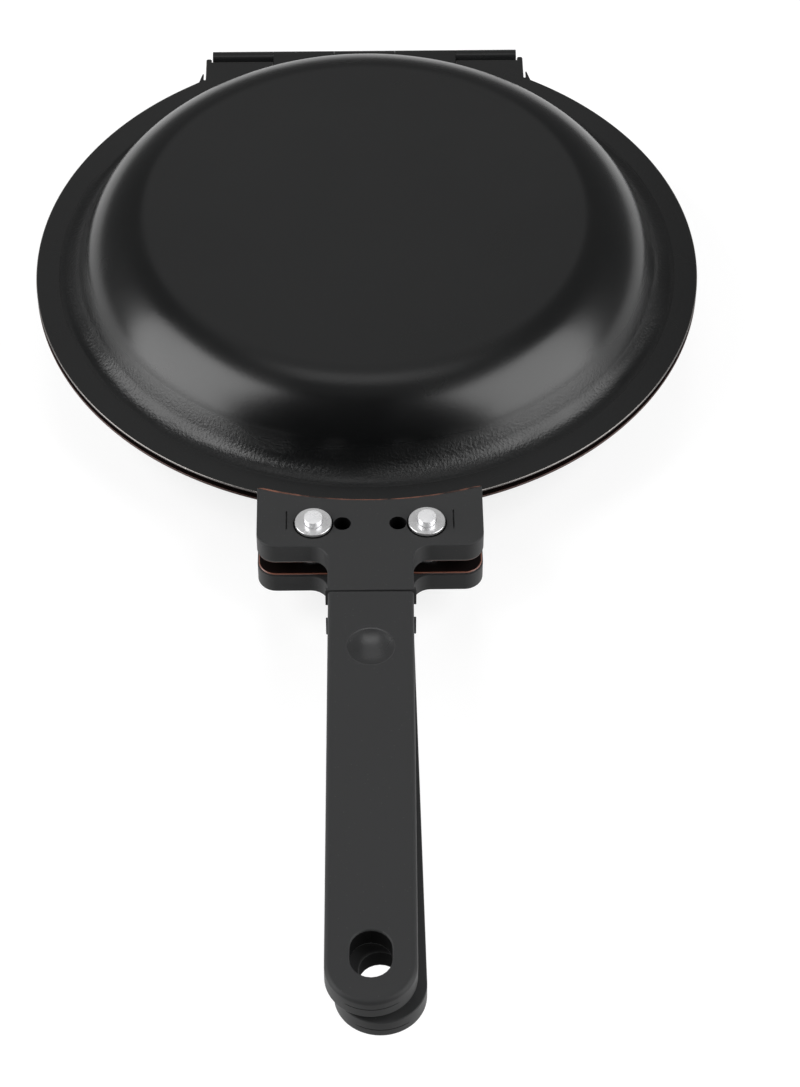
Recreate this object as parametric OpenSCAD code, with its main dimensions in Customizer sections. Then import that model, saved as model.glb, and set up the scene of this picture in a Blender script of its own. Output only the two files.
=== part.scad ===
// Double sided flip pan: two shallow pressed pans on one rolled hinge, each with its own riveted handle.
// Both halves are drawn about the closing plane between the rims, and the lower one is mirrored down.
// +Z is up, +Y runs back to the hinge, and the origin is the middle of the lower base, on the table.

/* [Pan] */
// Diameter over the rim
rim_d = 190; // [180:1:210]
// Width of the flat rim from the wall's foot to the cut edge
rim_w = 7.4; // [6:0.2:10]
// Height of one pan from its rim's outer face to its base
pan_depth = 20.3; // [17:0.1:26]
// Thickness of the pressed sheet
sheet_t = 0.7; // [0.5:0.1:0.9]
// Gap between the two rims when the pan is closed
rim_gap = 1.8; // [1.6:0.1:2.4]
// Slope of the wall's straight part
wall_angle = 65; // [58:1:70]
// Radius of the outer surface between base and wall
corner_r = 20; // [12:1:22]
// Radius of the outer surface between wall and rim
foot_r = 6; // [4:0.5:8]

/* [Hinge] */
// Number of rolled knuckles, those at both ends on the lower pan
knuckle_count = 5; // [3:2:7]
// Width over all the knuckles
knuckle_span = 93; // [70:1:96]
// Gap between neighbouring knuckles
knuckle_gap = 0.3; // [0.3:0.05:0.6]
// Diameter of the hinge pin
pin_d = 3.6; // [3:0.1:4]
// Radial running clearance of the pin
pin_play = 0.05; // [0.03:0.01:0.08]
// How far the pin's axis lies inside the rim's reach
hinge_inset = 2.35; // [2:0.05:2.8]
// Clearance between a roll and the other pan's cut edge
leaf_clearance = 0.35; // [0.3:0.05:0.6]
// Width of the rear tab beyond the rolls, on each side
shoulder_w = 2; // [1.5:0.25:4]
// How far the rear tab's ears reach back beside the rolls, past the tab's cut edge
ear_reach = 1.6; // [1:0.1:2.2]
// Width of the notch at each root of the rear tab
slit_w = 0.6; // [0.5:0.1:1]

/* [Handle head] */
// Width of the head
head_w = 60; // [52:1:66]
// Thickness of the head
head_t = 6; // [5:0.25:8]
// Distance from the rim's edge to the head's curved edge
head_gap = 4.8; // [4:0.2:7]
// Distance from the rim's edge to the head's front edge
head_reach = 21.4; // [20:0.2:26]
// Radius of the head's front corners
head_corner_r = 5; // [3:0.5:7]
// How far the front tab is stepped out from the rim
tab_step = 1.35; // [1:0.05:2]
// How far the front tab's edge lies inside the head's edge
tab_inset = 0.3; // [0.2:0.1:0.8]
// Width of the neck
neck_w = 22.5; // [20:0.5:26]
// Length of the neck
neck_len = 15.3; // [12:0.5:20]
// Radius between head and neck
neck_fillet_r = 4.75; // [3:0.25:5.5]
// Length of the wider lip at the neck's end
lip_len = 1; // [0.6:0.2:4]
// How far the lip stands out on each side
lip_out = 0.6; // [0.3:0.1:1]

/* [Rivets] */
// Diameter of the rivets
rivet_d = 4.9; // [4:0.1:5.2]
// Distance between the two rivets
rivet_spacing = 30; // [28:0.5:32]
// Distance of the rivets from the rim's edge
rivet_row = 13.4; // [12.5:0.1:13.8]
// Radial clearance of the rivets in their holes
rivet_play = 0.05; // [0.03:0.01:0.1]
// Diameter of the flat heads on the inner side
rivet_head_d = 9; // [7:0.5:10]
// Thickness of the flat heads
rivet_head_t = 0.9; // [0.7:0.1:1.1]
// How far the rivets stand out of their washers
rivet_stand = 1.8; // [1:0.1:3]
// Diameter of the washers
washer_d = 9.8; // [8:0.2:10.4]
// Thickness of the washers
washer_t = 0.9; // [0.6:0.1:1.2]
// Diameter of the two spare holes between the rivets
spare_hole_d = 4.4; // [3.5:0.1:4.6]
// Distance between the two spare holes
spare_hole_spacing = 14.7; // [13:0.1:16]
// Distance of the two fine marks from the rim's edge
mark_row = 12; // [11:0.1:13.5]

/* [Tang] */
// Thickness of the tang
tang_t = 1.5; // [1:0.1:1.8]
// Width of the tang's stem
tang_w = 12; // [10:0.5:14]
// Width of the tang's root plate
root_w = 40; // [38:1:46]
// Depth of the tang's root plate
root_depth = 12; // [10:0.5:12.5]
// How far the stem reaches into the grip
tang_reach = 34; // [32:1:40]
// Clearance of the tang in its seats
tang_play = 0.2; // [0.15:0.05:0.3]
// Diameter of the grip screw
screw_d = 4; // [3:0.5:5]
// Diameter of the grip screw's head
screw_head_d = 7; // [6:0.5:8]
// Height of the grip screw's head
screw_head_h = 1.8; // [1.2:0.1:1.8]
// Distance of the grip screw from the joint
screw_from_joint = 28; // [26:0.5:28]
// Outer diameter of the threaded insert
insert_d = 6.5; // [6:0.25:7.5]
// Height of the threaded insert
insert_h = 3; // [2.5:0.1:3]

/* [Grip] */
// Width of the grip
grip_w = 22.3; // [20:0.1:26]
// Length of the grip from the joint to its end
grip_len = 126.6; // [120:0.1:150]
// Thickness of the grip
grip_t = 6; // [5.6:0.1:8]
// Slope of the grips towards each other
grip_slope = 0.77; // [0.4:0.01:0.8]
// How far the upper grip sits turned to the left
upper_turn = 0.5; // [0:0.05:0.8]
// How far the lower grip sits turned to the right
lower_turn = 0.6; // [0:0.05:0.8]
// Gap at the joint of head and grip
joint_gap = 0.35; // [0.3:0.05:0.6]
// Radius of the grip's outer edges
grip_edge_r = 1.2; // [0.6:0.1:1.5]
// Thickness of the grip's side walls
grip_wall = 2; // [1.6:0.1:3]
// Thickness of the grip's outer skin
grip_skin = 2.2; // [2:0.1:3]
// Number of hollows in the grip's inner face
hollow_count = 3; // [2:1:4]
// Thickness of the ribs between the hollows
rib_t = 1.6; // [1.2:0.1:3]
// Width of the hanging hole
hang_w = 10.2; // [8:0.1:11]
// Length of the hanging hole
hang_len = 13.2; // [12:0.1:20]
// Distance from the hanging hole to the grip's end
hang_from_end = 7.1; // [6:0.1:10]
// Diameter of the dimple
dimple_d = 12.5; // [10:0.1:14]
// Depth of the dimple
dimple_depth = 1.2; // [0.8:0.1:1.5]
// Distance of the dimple from the joint
dimple_from_joint = 18.8; // [18:0.1:19]
// Width of the parting groove round the grip's end
groove_w = 11.4; // [6:0.2:16]

/* [Magnet] */
// Diameter of the magnet cup
cup_d = 9.5; // [8.5:0.5:11]
// Wall of the magnet cup
cup_wall = 0.8; // [0.6:0.1:1]
// Depth of the cup's seat in the grip
cup_seat = 2.2; // [1.8:0.1:2.4]
// Distance of the magnet from the joint
magnet_from_joint = 92; // [88:0.5:94]
// Gap between the two magnets when the pan is closed
magnet_gap = 0.6; // [0.5:0.1:0.8]
// Radial clearance of cup and magnet in their seats
magnet_play = 0.1; // [0.05:0.01:0.15]

/* [Hidden] */
$fn = 96;
eps = 0.01;
cut = 1;
rim_r = rim_d / 2;
rim_in = rim_gap / 2;
rim_out = rim_in + sheet_t;
half_h = rim_out + pan_depth;

// Foot of the wall, base edge and the wall's straight length
foot_radius_at = rim_r - rim_w;
rim_lap = 1;
arc_share = 1 - cos(wall_angle);
wall_len = (pan_depth - (foot_r + corner_r) * arc_share) / sin(wall_angle);
base_r = foot_radius_at - (foot_r + corner_r) * sin(wall_angle) - wall_len * cos(wall_angle);
foot_centre = [foot_radius_at, rim_out + foot_r];
corner_centre = [base_r, half_h - corner_r];

// Hinge rolls, and the tongues that rise from the rim to meet them
axis_y = rim_r - hinge_inset;
bore_r = pin_d / 2 + pin_play;
roll_r = bore_r + sheet_t;
leaf_y = axis_y - roll_r - leaf_clearance;
bend_lap = 0.2;
bend_y = foot_radius_at + bend_lap;
bend_dist = norm([axis_y - bend_y, rim_out]);
tongue_len = sqrt(bend_dist * bend_dist - roll_r * roll_r);
tongue_angle = asin(roll_r / bend_dist) - atan2(rim_out, axis_y - bend_y);
knuckle_w = (knuckle_span - (knuckle_count - 1) * knuckle_gap) / knuckle_count;
rear_w = knuckle_span + 2 * shoulder_w;
ear_w = shoulder_w - knuckle_gap;
ear_r = 0.5;
ears_in = rear_w / 2 - ear_w;
pin_len = knuckle_span - 2 * knuckle_gap;

// Notches where the rim's edge meets the rear tab, and the small corners they leave outside it
slit_y = sqrt(rim_r * rim_r - rear_w * rear_w / 4);
slit_deep = 0.2;
spike_h = 2.6;
spike_tip = 0.4;
spike_root = 1.4;

// Front tab and head
tab_out = rim_out + tab_step;
tab_in = tab_out - sheet_t;
head_out = tab_out + head_t;
front_y = -(rim_r + head_reach);
joint_y = front_y - neck_len;
arc_r = rim_r + head_gap;
rivet_y = -(rim_r + rivet_row);
step_start = 0.5;
step_from = rim_r + step_start;
step_len = 2.5;
step_to = step_from + step_len;
tab_w = head_w - 2 * tab_inset;
hole_r = rivet_d / 2 + rivet_play;
seat_slack = 0.1;
seat_depth = tang_t + seat_slack;
tang_corner_r = 2;
stem_lap = 2;
mark_x = 22.1;
mark_y = -(rim_r + mark_row);
mark_len = 6.5;
mark_w = 0.4;
mark_depth = 0.4;

// Grip: lengths along it are counted from its own end at the joint
hang_y = -(grip_len - joint_gap - hang_from_end - hang_len / 2);
cup_half_gap = tab_out - magnet_from_joint * sin(grip_slope) - magnet_gap / 2;
hollow_w = grip_w - 2 * grip_wall;
hollow_depth = grip_t - grip_skin;
stem_margin = 4;
cup_margin = 3;
hole_margin = 2.2;
hollow_from = tang_reach + stem_margin;
hollow_to = magnet_from_joint - cup_d / 2 - cup_margin;
hollow_len = (hollow_to - hollow_from - (hollow_count - 1) * rib_t) / hollow_count;
end_hollow_from = magnet_from_joint + cup_d / 2 + cup_margin;
end_hollow_len = -hang_y - hang_len / 2 - hole_margin - end_hollow_from;
hollow_corner_r = 1.5;
groove_h = 0.3;
groove_depth = 0.25;
dimple_ball_r = (dimple_d * dimple_d / 4 + dimple_depth * dimple_depth) / (2 * dimple_depth);

// Screw: clearances in tang and insert, the insert's closed end, and the slot in the screw's head
screw_hole_slack = 0.2;
thread_slack = 0.1;
insert_floor = 1;
screw_end_gap = 0.2;
screw_len = seat_depth + insert_h - insert_floor - screw_end_gap;
slot_w = 0.8;
slot_depth = 0.8;

coat_black = [0.15, 0.15, 0.155];
mould_black = [0.25, 0.25, 0.255];
bright_steel = [0.82, 0.82, 0.84];
dull_steel = [0.55, 0.56, 0.58];
brass = [0.8, 0.65, 0.35];

// ---- placing ----

// Upper half: drawn upwards from the closing plane
module as_upper() {
    translate([0, 0, half_h])
        children();
}

// Lower half: the same, mirrored down
module as_lower() {
    translate([0, 0, half_h])
        mirror([0, 0, 1])
            children();
}

// What sits on the grip: origin on its inner face at the joint, sloping in and turned as fitted
module on_grip(turn) {
    translate([0, joint_y, tab_out])
        rotate([grip_slope, 0, turn])
            children();
}

// ---- plain outlines ----

// Rectangle with rounded corners, centred on its middle
module rounded_plate(w, l, r) {
    square([w - 2 * r, l], center = true);
    square([w, l - 2 * r], center = true);
    for (sx = [-1, 1], sy = [-1, 1])
        translate([sx * (w / 2 - r), sy * (l / 2 - r)])
            circle(r);
}

// Obround along Y, centred on its middle
module obround(w, l) {
    square([w, l - w], center = true);
    for (s = [-1, 1])
        translate([0, s * (l - w) / 2])
            circle(w / 2);
}

// ---- pans ----

// Half profile of all that lies under the bowl's surface, which is set in by a depth
module under_bowl(depth) {
    wall_dir = [sin(wall_angle), cos(wall_angle)];
    wall_top = corner_centre + (corner_r - depth) * wall_dir;
    wall_foot = foot_centre - (foot_r + depth) * wall_dir;
    difference() {
        union() {
            square([base_r, half_h - depth]);
            intersection() {
                translate(corner_centre)
                    circle(corner_r - depth);
                translate([base_r - cut, 0])
                    square([corner_r + cut, half_h]);
            }
            polygon([
                [0, 0],
                [0, corner_centre.y],
                corner_centre,
                wall_top,
                wall_foot,
                foot_centre,
                [foot_radius_at, 0]
            ]);
            square([foot_radius_at + rim_lap, rim_out - depth]);
        }
        translate(foot_centre)
            circle(foot_r + depth);
        translate([0, -cut])
            square([rim_r, cut + rim_in]);
    }
}

// Half profile of the bowl's sheet: base, rounded corner, sloping wall and the foot's fillet
module bowl_profile() {
    difference() {
        under_bowl(0);
        under_bowl(sheet_t);
    }
}

// Outline of the flat rim with its front and rear tabs
module rim_outline(own) {
    difference() {
        union() {
            circle(rim_r, $fn = 180);
            translate([-tab_w / 2, -step_from])
                square([tab_w, step_from]);
            translate([-rear_w / 2, 0])
                square([rear_w, leaf_y]);
            rear_ears();
            rear_spikes();
        }
        circle(foot_radius_at, $fn = 180);
        translate([-ears_in, leaf_y])
            square([2 * ears_in, rim_r]);
        for (i = own)
            translate([knuckle_x(i) - knuckle_gap / 2, bend_y])
                square([knuckle_w + knuckle_gap, rim_r]);
        for (s = [-1, 1])
            translate([s * (rear_w + slit_w) / 2, slit_y + (spike_h + cut - slit_deep) / 2])
                obround(slit_w, slit_deep + spike_h + cut);
    }
}

// Ears of the rear tab, beside the ends of the rolls
module rear_ears() {
    for (s = [-1, 1])
        translate([s * (rear_w - ear_w) / 2, leaf_y + ear_reach / 2 - cut / 2])
            rounded_plate(ear_w, ear_reach + cut, ear_r);
}

// Small corners that the relief slits leave outside the rear tab
module rear_spikes() {
    for (s = [-1, 1])
        polygon([
            [s * rear_w / 2, slit_y - slit_deep - rim_lap],
            [s * rear_w / 2, slit_y + spike_h],
            [s * (rear_w / 2 + slit_w + spike_tip), slit_y + spike_h],
            [s * (rear_w / 2 + slit_w + spike_root), slit_y - slit_deep - rim_lap]
        ]);
}

// Start of a knuckle along X
function knuckle_x(i) = -knuckle_span / 2 + i * (knuckle_w + knuckle_gap);

// One rolled knuckle: a tongue that rises from the rim, and the roll round the pin
module knuckle(i) {
    translate([knuckle_x(i), 0, 0])
        rotate([90, 0, 90])
            linear_extrude(knuckle_w)
                difference() {
                    union() {
                        translate([axis_y, 0])
                            circle(roll_r);
                        translate([bend_y, rim_out])
                            rotate(tongue_angle)
                                translate([0, -sheet_t])
                                    square([tongue_len, sheet_t]);
                        translate([foot_radius_at - bend_lap, rim_in])
                            square([3 * bend_lap, sheet_t]);
                    }
                    translate([axis_y, 0])
                        circle(bore_r);
                }
}

// Front tab: steps out from the rim and lies under the head
module front_tab() {
    intersection() {
        rotate([90, 0, 90])
            linear_extrude(tab_w, center = true)
                polygon([
                    [rim_lap - step_from, rim_in],
                    [-step_from, rim_in],
                    [-step_to, tab_in],
                    [front_y + tab_inset, tab_in],
                    [front_y + tab_inset, tab_out],
                    [-step_to, tab_out],
                    [-step_from, rim_out],
                    [rim_lap - step_from, rim_out]
                ]);
        translate([0, (front_y + tab_inset) / 2, 0])
            linear_extrude(tab_out + cut)
                rounded_plate(tab_w, -front_y - tab_inset, head_corner_r - tab_inset);
    }
}

// The pair of rivet holes or bodies
module at_rivets() {
    for (s = [-1, 1])
        translate([s * rivet_spacing / 2, rivet_y, 0])
            children();
}

module pan(own) {
    color(coat_black)
        difference() {
            union() {
                rotate_extrude($fn = 180)
                    bowl_profile();
                translate([0, 0, rim_in])
                    linear_extrude(sheet_t)
                        rim_outline(own);
                front_tab();
                for (i = own)
                    knuckle(i);
            }
            at_rivets()
                cylinder(h = tab_out + cut, r = hole_r);
        }
}

module hinge_pin() {
    color(bright_steel)
        translate([-pin_len / 2, axis_y, half_h])
            rotate([0, 90, 0])
                cylinder(h = pin_len, d = pin_d);
}

// ---- handle heads ----

// T outline: a wide plate that follows the rim, and the neck with its fillets and end lip
module head_outline() {
    difference() {
        union() {
            translate([0, front_y / 2])
                rounded_plate(head_w, -front_y, head_corner_r);
            translate([-neck_w / 2, joint_y])
                square([neck_w, neck_len + cut]);
            translate([-neck_w / 2 - lip_out, joint_y])
                square([neck_w + 2 * lip_out, lip_len]);
            for (s = [-1, 1])
                neck_fillet(s);
        }
        circle(arc_r, $fn = 180);
    }
}

// Fillet between head and neck on one side
module neck_fillet(s) {
    difference() {
        translate([s * (neck_w + neck_fillet_r) / 2, front_y + (cut - neck_fillet_r) / 2])
            square([neck_fillet_r, neck_fillet_r + cut], center = true);
        translate([s * (neck_w / 2 + neck_fillet_r), front_y - neck_fillet_r])
            circle(neck_fillet_r);
    }
}

// Stamped outline of the tang's root and stem, grown by a clearance
module tang_root(grow) {
    translate([0, rivet_y])
        rounded_plate(root_w + 2 * grow, root_depth + 2 * grow, tang_corner_r);
    translate([-tang_w / 2 - grow, joint_y])
        square([tang_w + 2 * grow, rivet_y - joint_y]);
}

module handle_head() {
    color(mould_black)
        difference() {
            translate([0, 0, tab_out])
                linear_extrude(head_t)
                    head_outline();
            translate([0, 0, tab_out - eps])
                linear_extrude(seat_depth + eps)
                    tang_root(tang_play);
            at_rivets()
                cylinder(h = head_out + cut, r = hole_r);
            at_spare_holes()
                cylinder(h = head_out + cut, d = spare_hole_d);
            for (s = [-1, 1])
                translate([s * mark_x, mark_y, head_out])
                    cube([mark_w, mark_len, 2 * mark_depth], center = true);
        }
}

module at_spare_holes() {
    for (s = [-1, 1])
        translate([s * spare_hole_spacing / 2, rivet_y, 0])
            children();
}

module tang(turn) {
    color(dull_steel)
        difference() {
            union() {
                translate([0, 0, tab_out])
                    linear_extrude(tang_t)
                        tang_root(0);
                on_grip(turn)
                    linear_extrude(tang_t)
                        tang_stem(0);
            }
            at_rivets()
                cylinder(h = head_out, r = hole_r);
            at_spare_holes()
                cylinder(h = head_out, d = spare_hole_d);
            on_grip(turn)
                translate([0, -screw_from_joint, -cut])
                    cylinder(h = tang_t + 2 * cut, d = screw_d + screw_hole_slack);
        }
}

// The stem's part inside the grip, in the grip's own frame
module tang_stem(grow) {
    translate([0, (stem_lap - tang_reach) / 2])
        rounded_plate(tang_w + 2 * grow, tang_reach + stem_lap + 2 * grow, tang_corner_r);
}

module rivets() {
    color(bright_steel)
        at_rivets()
            union() {
                translate([0, 0, tab_in - rivet_head_t])
                    cylinder(h = rivet_head_t, d = rivet_head_d);
                translate([0, 0, tab_in - rivet_head_t])
                    cylinder(h = rivet_head_t + head_out - tab_in + washer_t + rivet_stand, d = rivet_d);
            }
}

module rivet_washers() {
    color(bright_steel)
        at_rivets()
            translate([0, 0, head_out])
                difference() {
                    cylinder(h = washer_t, d = washer_d);
                    translate([0, 0, -cut])
                        cylinder(h = washer_t + 2 * cut, r = hole_r);
                }
}

// ---- grips ----

// Cross-section of the grip: outer edges rounded, inner face flat
module grip_section() {
    square([grip_w, grip_t - grip_edge_r]);
    translate([grip_edge_r, 0])
        square([grip_w - 2 * grip_edge_r, grip_t]);
    for (x = [grip_edge_r, grip_w - grip_edge_r])
        translate([x, grip_t - grip_edge_r])
            circle(grip_edge_r);
}

// The grip's solid body: a straight bar and a full-round end, both of one section
module grip_body() {
    bar_len = grip_len - joint_gap - grip_w / 2;
    rotate([90, 0, 0])
        translate([-grip_w / 2, 0, 0])
            linear_extrude(bar_len)
                grip_section();
    translate([0, -bar_len, 0])
        rotate_extrude()
            intersection() {
                translate([-grip_w / 2, 0])
                    grip_section();
                square([grip_w, grip_t]);
            }
}

module grip(turn) {
    color(mould_black)
        on_grip(turn)
            difference() {
                translate([0, -joint_gap, 0])
                    grip_body();
                translate([0, 0, -eps])
                    linear_extrude(seat_depth + eps)
                        tang_stem(tang_play);
                translate([0, -screw_from_joint, 0])
                    cylinder(h = seat_depth + insert_h, d = insert_d);
                translate([0, -dimple_from_joint, grip_t - dimple_depth + dimple_ball_r])
                    sphere(dimple_ball_r);
                translate([0, hang_y, -cut])
                    linear_extrude(grip_t + 2 * cut)
                        obround(hang_w, hang_len);
                translate([0, -magnet_from_joint, -cut])
                    cylinder(h = cup_seat + cut, d = cup_d + 2 * magnet_play);
                hollows();
                parting_groove();
            }
}

// Groove along the parting line of the mould, round the grip's end
module parting_groove() {
    bar_end = grip_w / 2 - grip_len;
    intersection() {
        translate([0, bar_end, (grip_t - groove_h) / 2])
            difference() {
                cylinder(h = groove_h, r = grip_w / 2 + cut);
                translate([0, 0, -cut])
                    cylinder(h = groove_h + 2 * cut, r = grip_w / 2 - groove_depth);
            }
        translate([-groove_w / 2, -grip_len - cut, 0])
            cube([groove_w, grip_w / 2, grip_t]);
    }
}

// Hollows between the ribs of the grip's inner face
module hollows() {
    for (i = [0 : hollow_count - 1])
        translate([0, -(hollow_from + i * (hollow_len + rib_t) + hollow_len / 2), -cut])
            linear_extrude(hollow_depth + cut)
                rounded_plate(hollow_w, hollow_len, hollow_corner_r);
    translate([0, -(end_hollow_from + end_hollow_len / 2), -cut])
        linear_extrude(hollow_depth + cut)
            rounded_plate(hollow_w, end_hollow_len, hollow_corner_r);
}

module grip_insert(turn) {
    color(brass)
        on_grip(turn)
            translate([0, -screw_from_joint, seat_depth])
                difference() {
                    cylinder(h = insert_h, d = insert_d);
                    translate([0, 0, -cut])
                        cylinder(h = insert_h - insert_floor + cut, d = screw_d + thread_slack);
                }
}

module grip_screw(turn) {
    color(bright_steel)
        on_grip(turn)
            translate([0, -screw_from_joint, 0])
                difference() {
                    union() {
                        translate([0, 0, -screw_head_h])
                            cylinder(h = screw_head_h, d = screw_head_d);
                        cylinder(h = screw_len, d = screw_d);
                    }
                    translate([0, 0, -screw_head_h])
                        cube([screw_head_d + cut, slot_w, 2 * slot_depth], center = true);
                }
}

module magnet_cup(turn) {
    color(dull_steel)
        on_grip(turn)
            translate([0, -magnet_from_joint, -cup_half_gap])
                difference() {
                    cylinder(h = cup_half_gap + cup_seat, d = cup_d);
                    translate([0, 0, -cut])
                        cylinder(h = cup_half_gap + cup_seat - cup_wall + cut, d = cup_d - 2 * cup_wall);
                }
}

module magnet(turn) {
    color(bright_steel)
        on_grip(turn)
            translate([0, -magnet_from_joint, -cup_half_gap])
                cylinder(h = cup_half_gap + cup_seat - cup_wall, d = cup_d - 2 * cup_wall - 2 * magnet_play);
}

// Knuckles of each pan: the lower one has both ends
lower_own = [for (i = [0 : 2 : knuckle_count - 1]) i];
upper_own = [for (i = [1 : 2 : knuckle_count - 1]) i];

as_lower() pan(lower_own);  // lower_pan
as_upper() pan(upper_own);  // upper_pan
hinge_pin();
as_lower() handle_head();  // lower_handle_head
as_upper() handle_head();  // upper_handle_head
as_lower() tang(lower_turn);  // lower_tang
as_upper() tang(-upper_turn);  // upper_tang
as_lower() rivets();  // lower_rivets
as_upper() rivets();  // upper_rivets
as_lower() rivet_washers();  // lower_rivet_washers
as_upper() rivet_washers();  // upper_rivet_washers
as_lower() grip(lower_turn);  // lower_grip
as_upper() grip(-upper_turn);  // upper_grip
as_lower() grip_insert(lower_turn);  // lower_grip_insert
as_upper() grip_insert(-upper_turn);  // upper_grip_insert
as_lower() grip_screw(lower_turn);  // lower_grip_screw
as_upper() grip_screw(-upper_turn);  // upper_grip_screw
as_lower() magnet_cup(lower_turn);  // lower_magnet_cup
as_upper() magnet_cup(-upper_turn);  // upper_magnet_cup
as_lower() magnet(lower_turn);  // lower_magnet
as_upper() magnet(-upper_turn);  // upper_magnet
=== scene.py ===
"""Double sided flip pan: finished pieces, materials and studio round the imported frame."""

import logging
import math
from dataclasses import dataclass, field
from enum import Enum
from typing import Callable, ClassVar, Optional, Sequence, Union

import bmesh
import bpy
import numpy as np
from mathutils import Matrix, Quaternion, Vector
from mathutils.geometry import delaunay_2d_cdt


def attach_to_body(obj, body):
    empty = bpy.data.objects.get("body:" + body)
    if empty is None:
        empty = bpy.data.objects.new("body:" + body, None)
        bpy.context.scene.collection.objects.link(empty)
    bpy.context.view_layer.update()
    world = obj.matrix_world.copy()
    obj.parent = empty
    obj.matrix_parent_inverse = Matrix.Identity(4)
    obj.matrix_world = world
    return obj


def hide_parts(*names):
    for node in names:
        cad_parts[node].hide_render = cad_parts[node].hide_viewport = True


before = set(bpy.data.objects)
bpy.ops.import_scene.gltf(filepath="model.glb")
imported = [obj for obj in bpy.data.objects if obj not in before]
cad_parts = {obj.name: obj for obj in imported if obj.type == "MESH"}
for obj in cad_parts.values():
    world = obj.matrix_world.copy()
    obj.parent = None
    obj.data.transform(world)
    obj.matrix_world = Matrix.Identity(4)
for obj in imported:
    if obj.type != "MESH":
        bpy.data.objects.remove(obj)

log = logging.getLogger("flip_pan")

MM = 0.001
"""One millimetre in Blender's metres: shapes are drawn in millimetres."""

SAME_POINT = 1e-4
"""Neighbouring points of a loop that are closer than this, in millimetres, are one point."""

SAME_LINE = 1e-6
"""Heights and radii that differ by less than this, in millimetres, are equal."""

SAME_CORNER = 1e-7
"""Points of a flat area that are closer than this, in millimetres, are one corner."""

Point2 = tuple[float, float]
Point3 = tuple[float, float, float]
EdgePoint = tuple[float, float, float]
Face = tuple[int, ...]
Level = tuple[np.ndarray, float]
Colour = tuple[float, float, float, float]
Value = Union[float, Colour, bpy.types.NodeSocket]


class Half(Enum):
    """The two halves of the pan, each drawn outwards from the closing plane."""

    LOWER = "lower"
    UPPER = "upper"

    @property
    def body(self) -> str:
        """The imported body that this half's pieces ride on."""
        return f"{self.value}_half"

    @property
    def side(self) -> float:
        """1 for the half above the closing plane, -1 for the one below it."""
        return 1.0 if self is Half.UPPER else -1.0


class FaceSide(Enum):
    """Which face of a plate a pocket opens to."""

    TOP = "top"
    BOTTOM = "bottom"
    THROUGH = "through"


# ---- sizes, in millimetres, as in the part's source ----


@dataclass(frozen=True)
class PanSizes:
    """Sizes of one pressed pan and its hinge rolls."""

    rim_r: float = 95.0
    foot_at: float = 87.6
    depth: float = 20.3
    sheet: float = 0.7
    rim_in: float = 0.9
    wall_deg: float = 65.0
    corner_r: float = 20.0
    foot_r: float = 6.0
    tab_step: float = 1.35
    tab_half_w: float = 29.7
    tab_end: float = 116.1
    tab_corner_r: float = 4.7
    step_from: float = 0.5
    step_to: float = 3.0
    edge_r: float = 0.26
    roll_count: int = 5
    roll_span: float = 93.0
    roll_gap: float = 0.05
    roll_wrap_deg: float = 309.0
    roll_chamfer: float = 0.03
    bore_r: float = 1.85
    hinge_inset: float = 2.35
    leaf_clearance: float = 0.35
    leaf_lap: float = 0.13
    bend_lap: float = 0.2
    shoulder_w: float = 2.0
    ear_w: float = 1.7
    ear_reach: float = 1.6
    ear_r: float = 0.6
    slit_w: float = 0.6
    slit_deep: float = 0.2
    spike_h: float = 2.6
    spike_below: float = 1.0
    spike_tip: float = 0.4
    spike_root: float = 1.4

    @property
    def rim_out(self) -> float:
        """Height of the rim's outer face over the closing plane."""
        return self.rim_in + self.sheet

    @property
    def half_height(self) -> float:
        """Height of the base over the closing plane."""
        return self.rim_out + self.depth

    @property
    def base_r(self) -> float:
        """Radius where the flat base ends.

        Returns:
            What the two arcs and the sloping wall leave of the foot's radius.
        """
        slope = math.radians(self.wall_deg)
        arcs = self.foot_r + self.corner_r
        wall = (self.depth - arcs * (1 - math.cos(slope))) / math.sin(slope)
        return self.foot_at - arcs * math.sin(slope) - wall * math.cos(slope)

    @property
    def roll_r(self) -> float:
        """Outer radius of a hinge roll."""
        return self.bore_r + self.sheet

    @property
    def axis_y(self) -> float:
        """Distance of the hinge's axis from the middle of the pan."""
        return self.rim_r - self.hinge_inset

    @property
    def leaf_y(self) -> float:
        """Distance of the rear tab's cut edge from the middle of the pan."""
        return self.axis_y - self.roll_r - self.leaf_clearance

    @property
    def bend_y(self) -> float:
        """Distance of the tongues' bend from the middle of the pan."""
        return self.foot_at + self.bend_lap

    @property
    def roll_w(self) -> float:
        """Width of one hinge roll."""
        return (self.roll_span - (self.roll_count - 1) * self.roll_gap) / self.roll_count

    @property
    def shoulder_x(self) -> float:
        """Half the width of the rear tab with its shoulders."""
        return self.roll_span / 2 + self.shoulder_w

    def roll_x(self, number: int) -> float:
        """Where a roll starts along X."""
        return -self.roll_span / 2 + number * (self.roll_w + self.roll_gap)

    def own_rolls(self, half: Half) -> range:
        """Numbers of the rolls that a half owns: the lower one has both ends."""
        return range(0 if half is Half.LOWER else 1, self.roll_count, 2)


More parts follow.
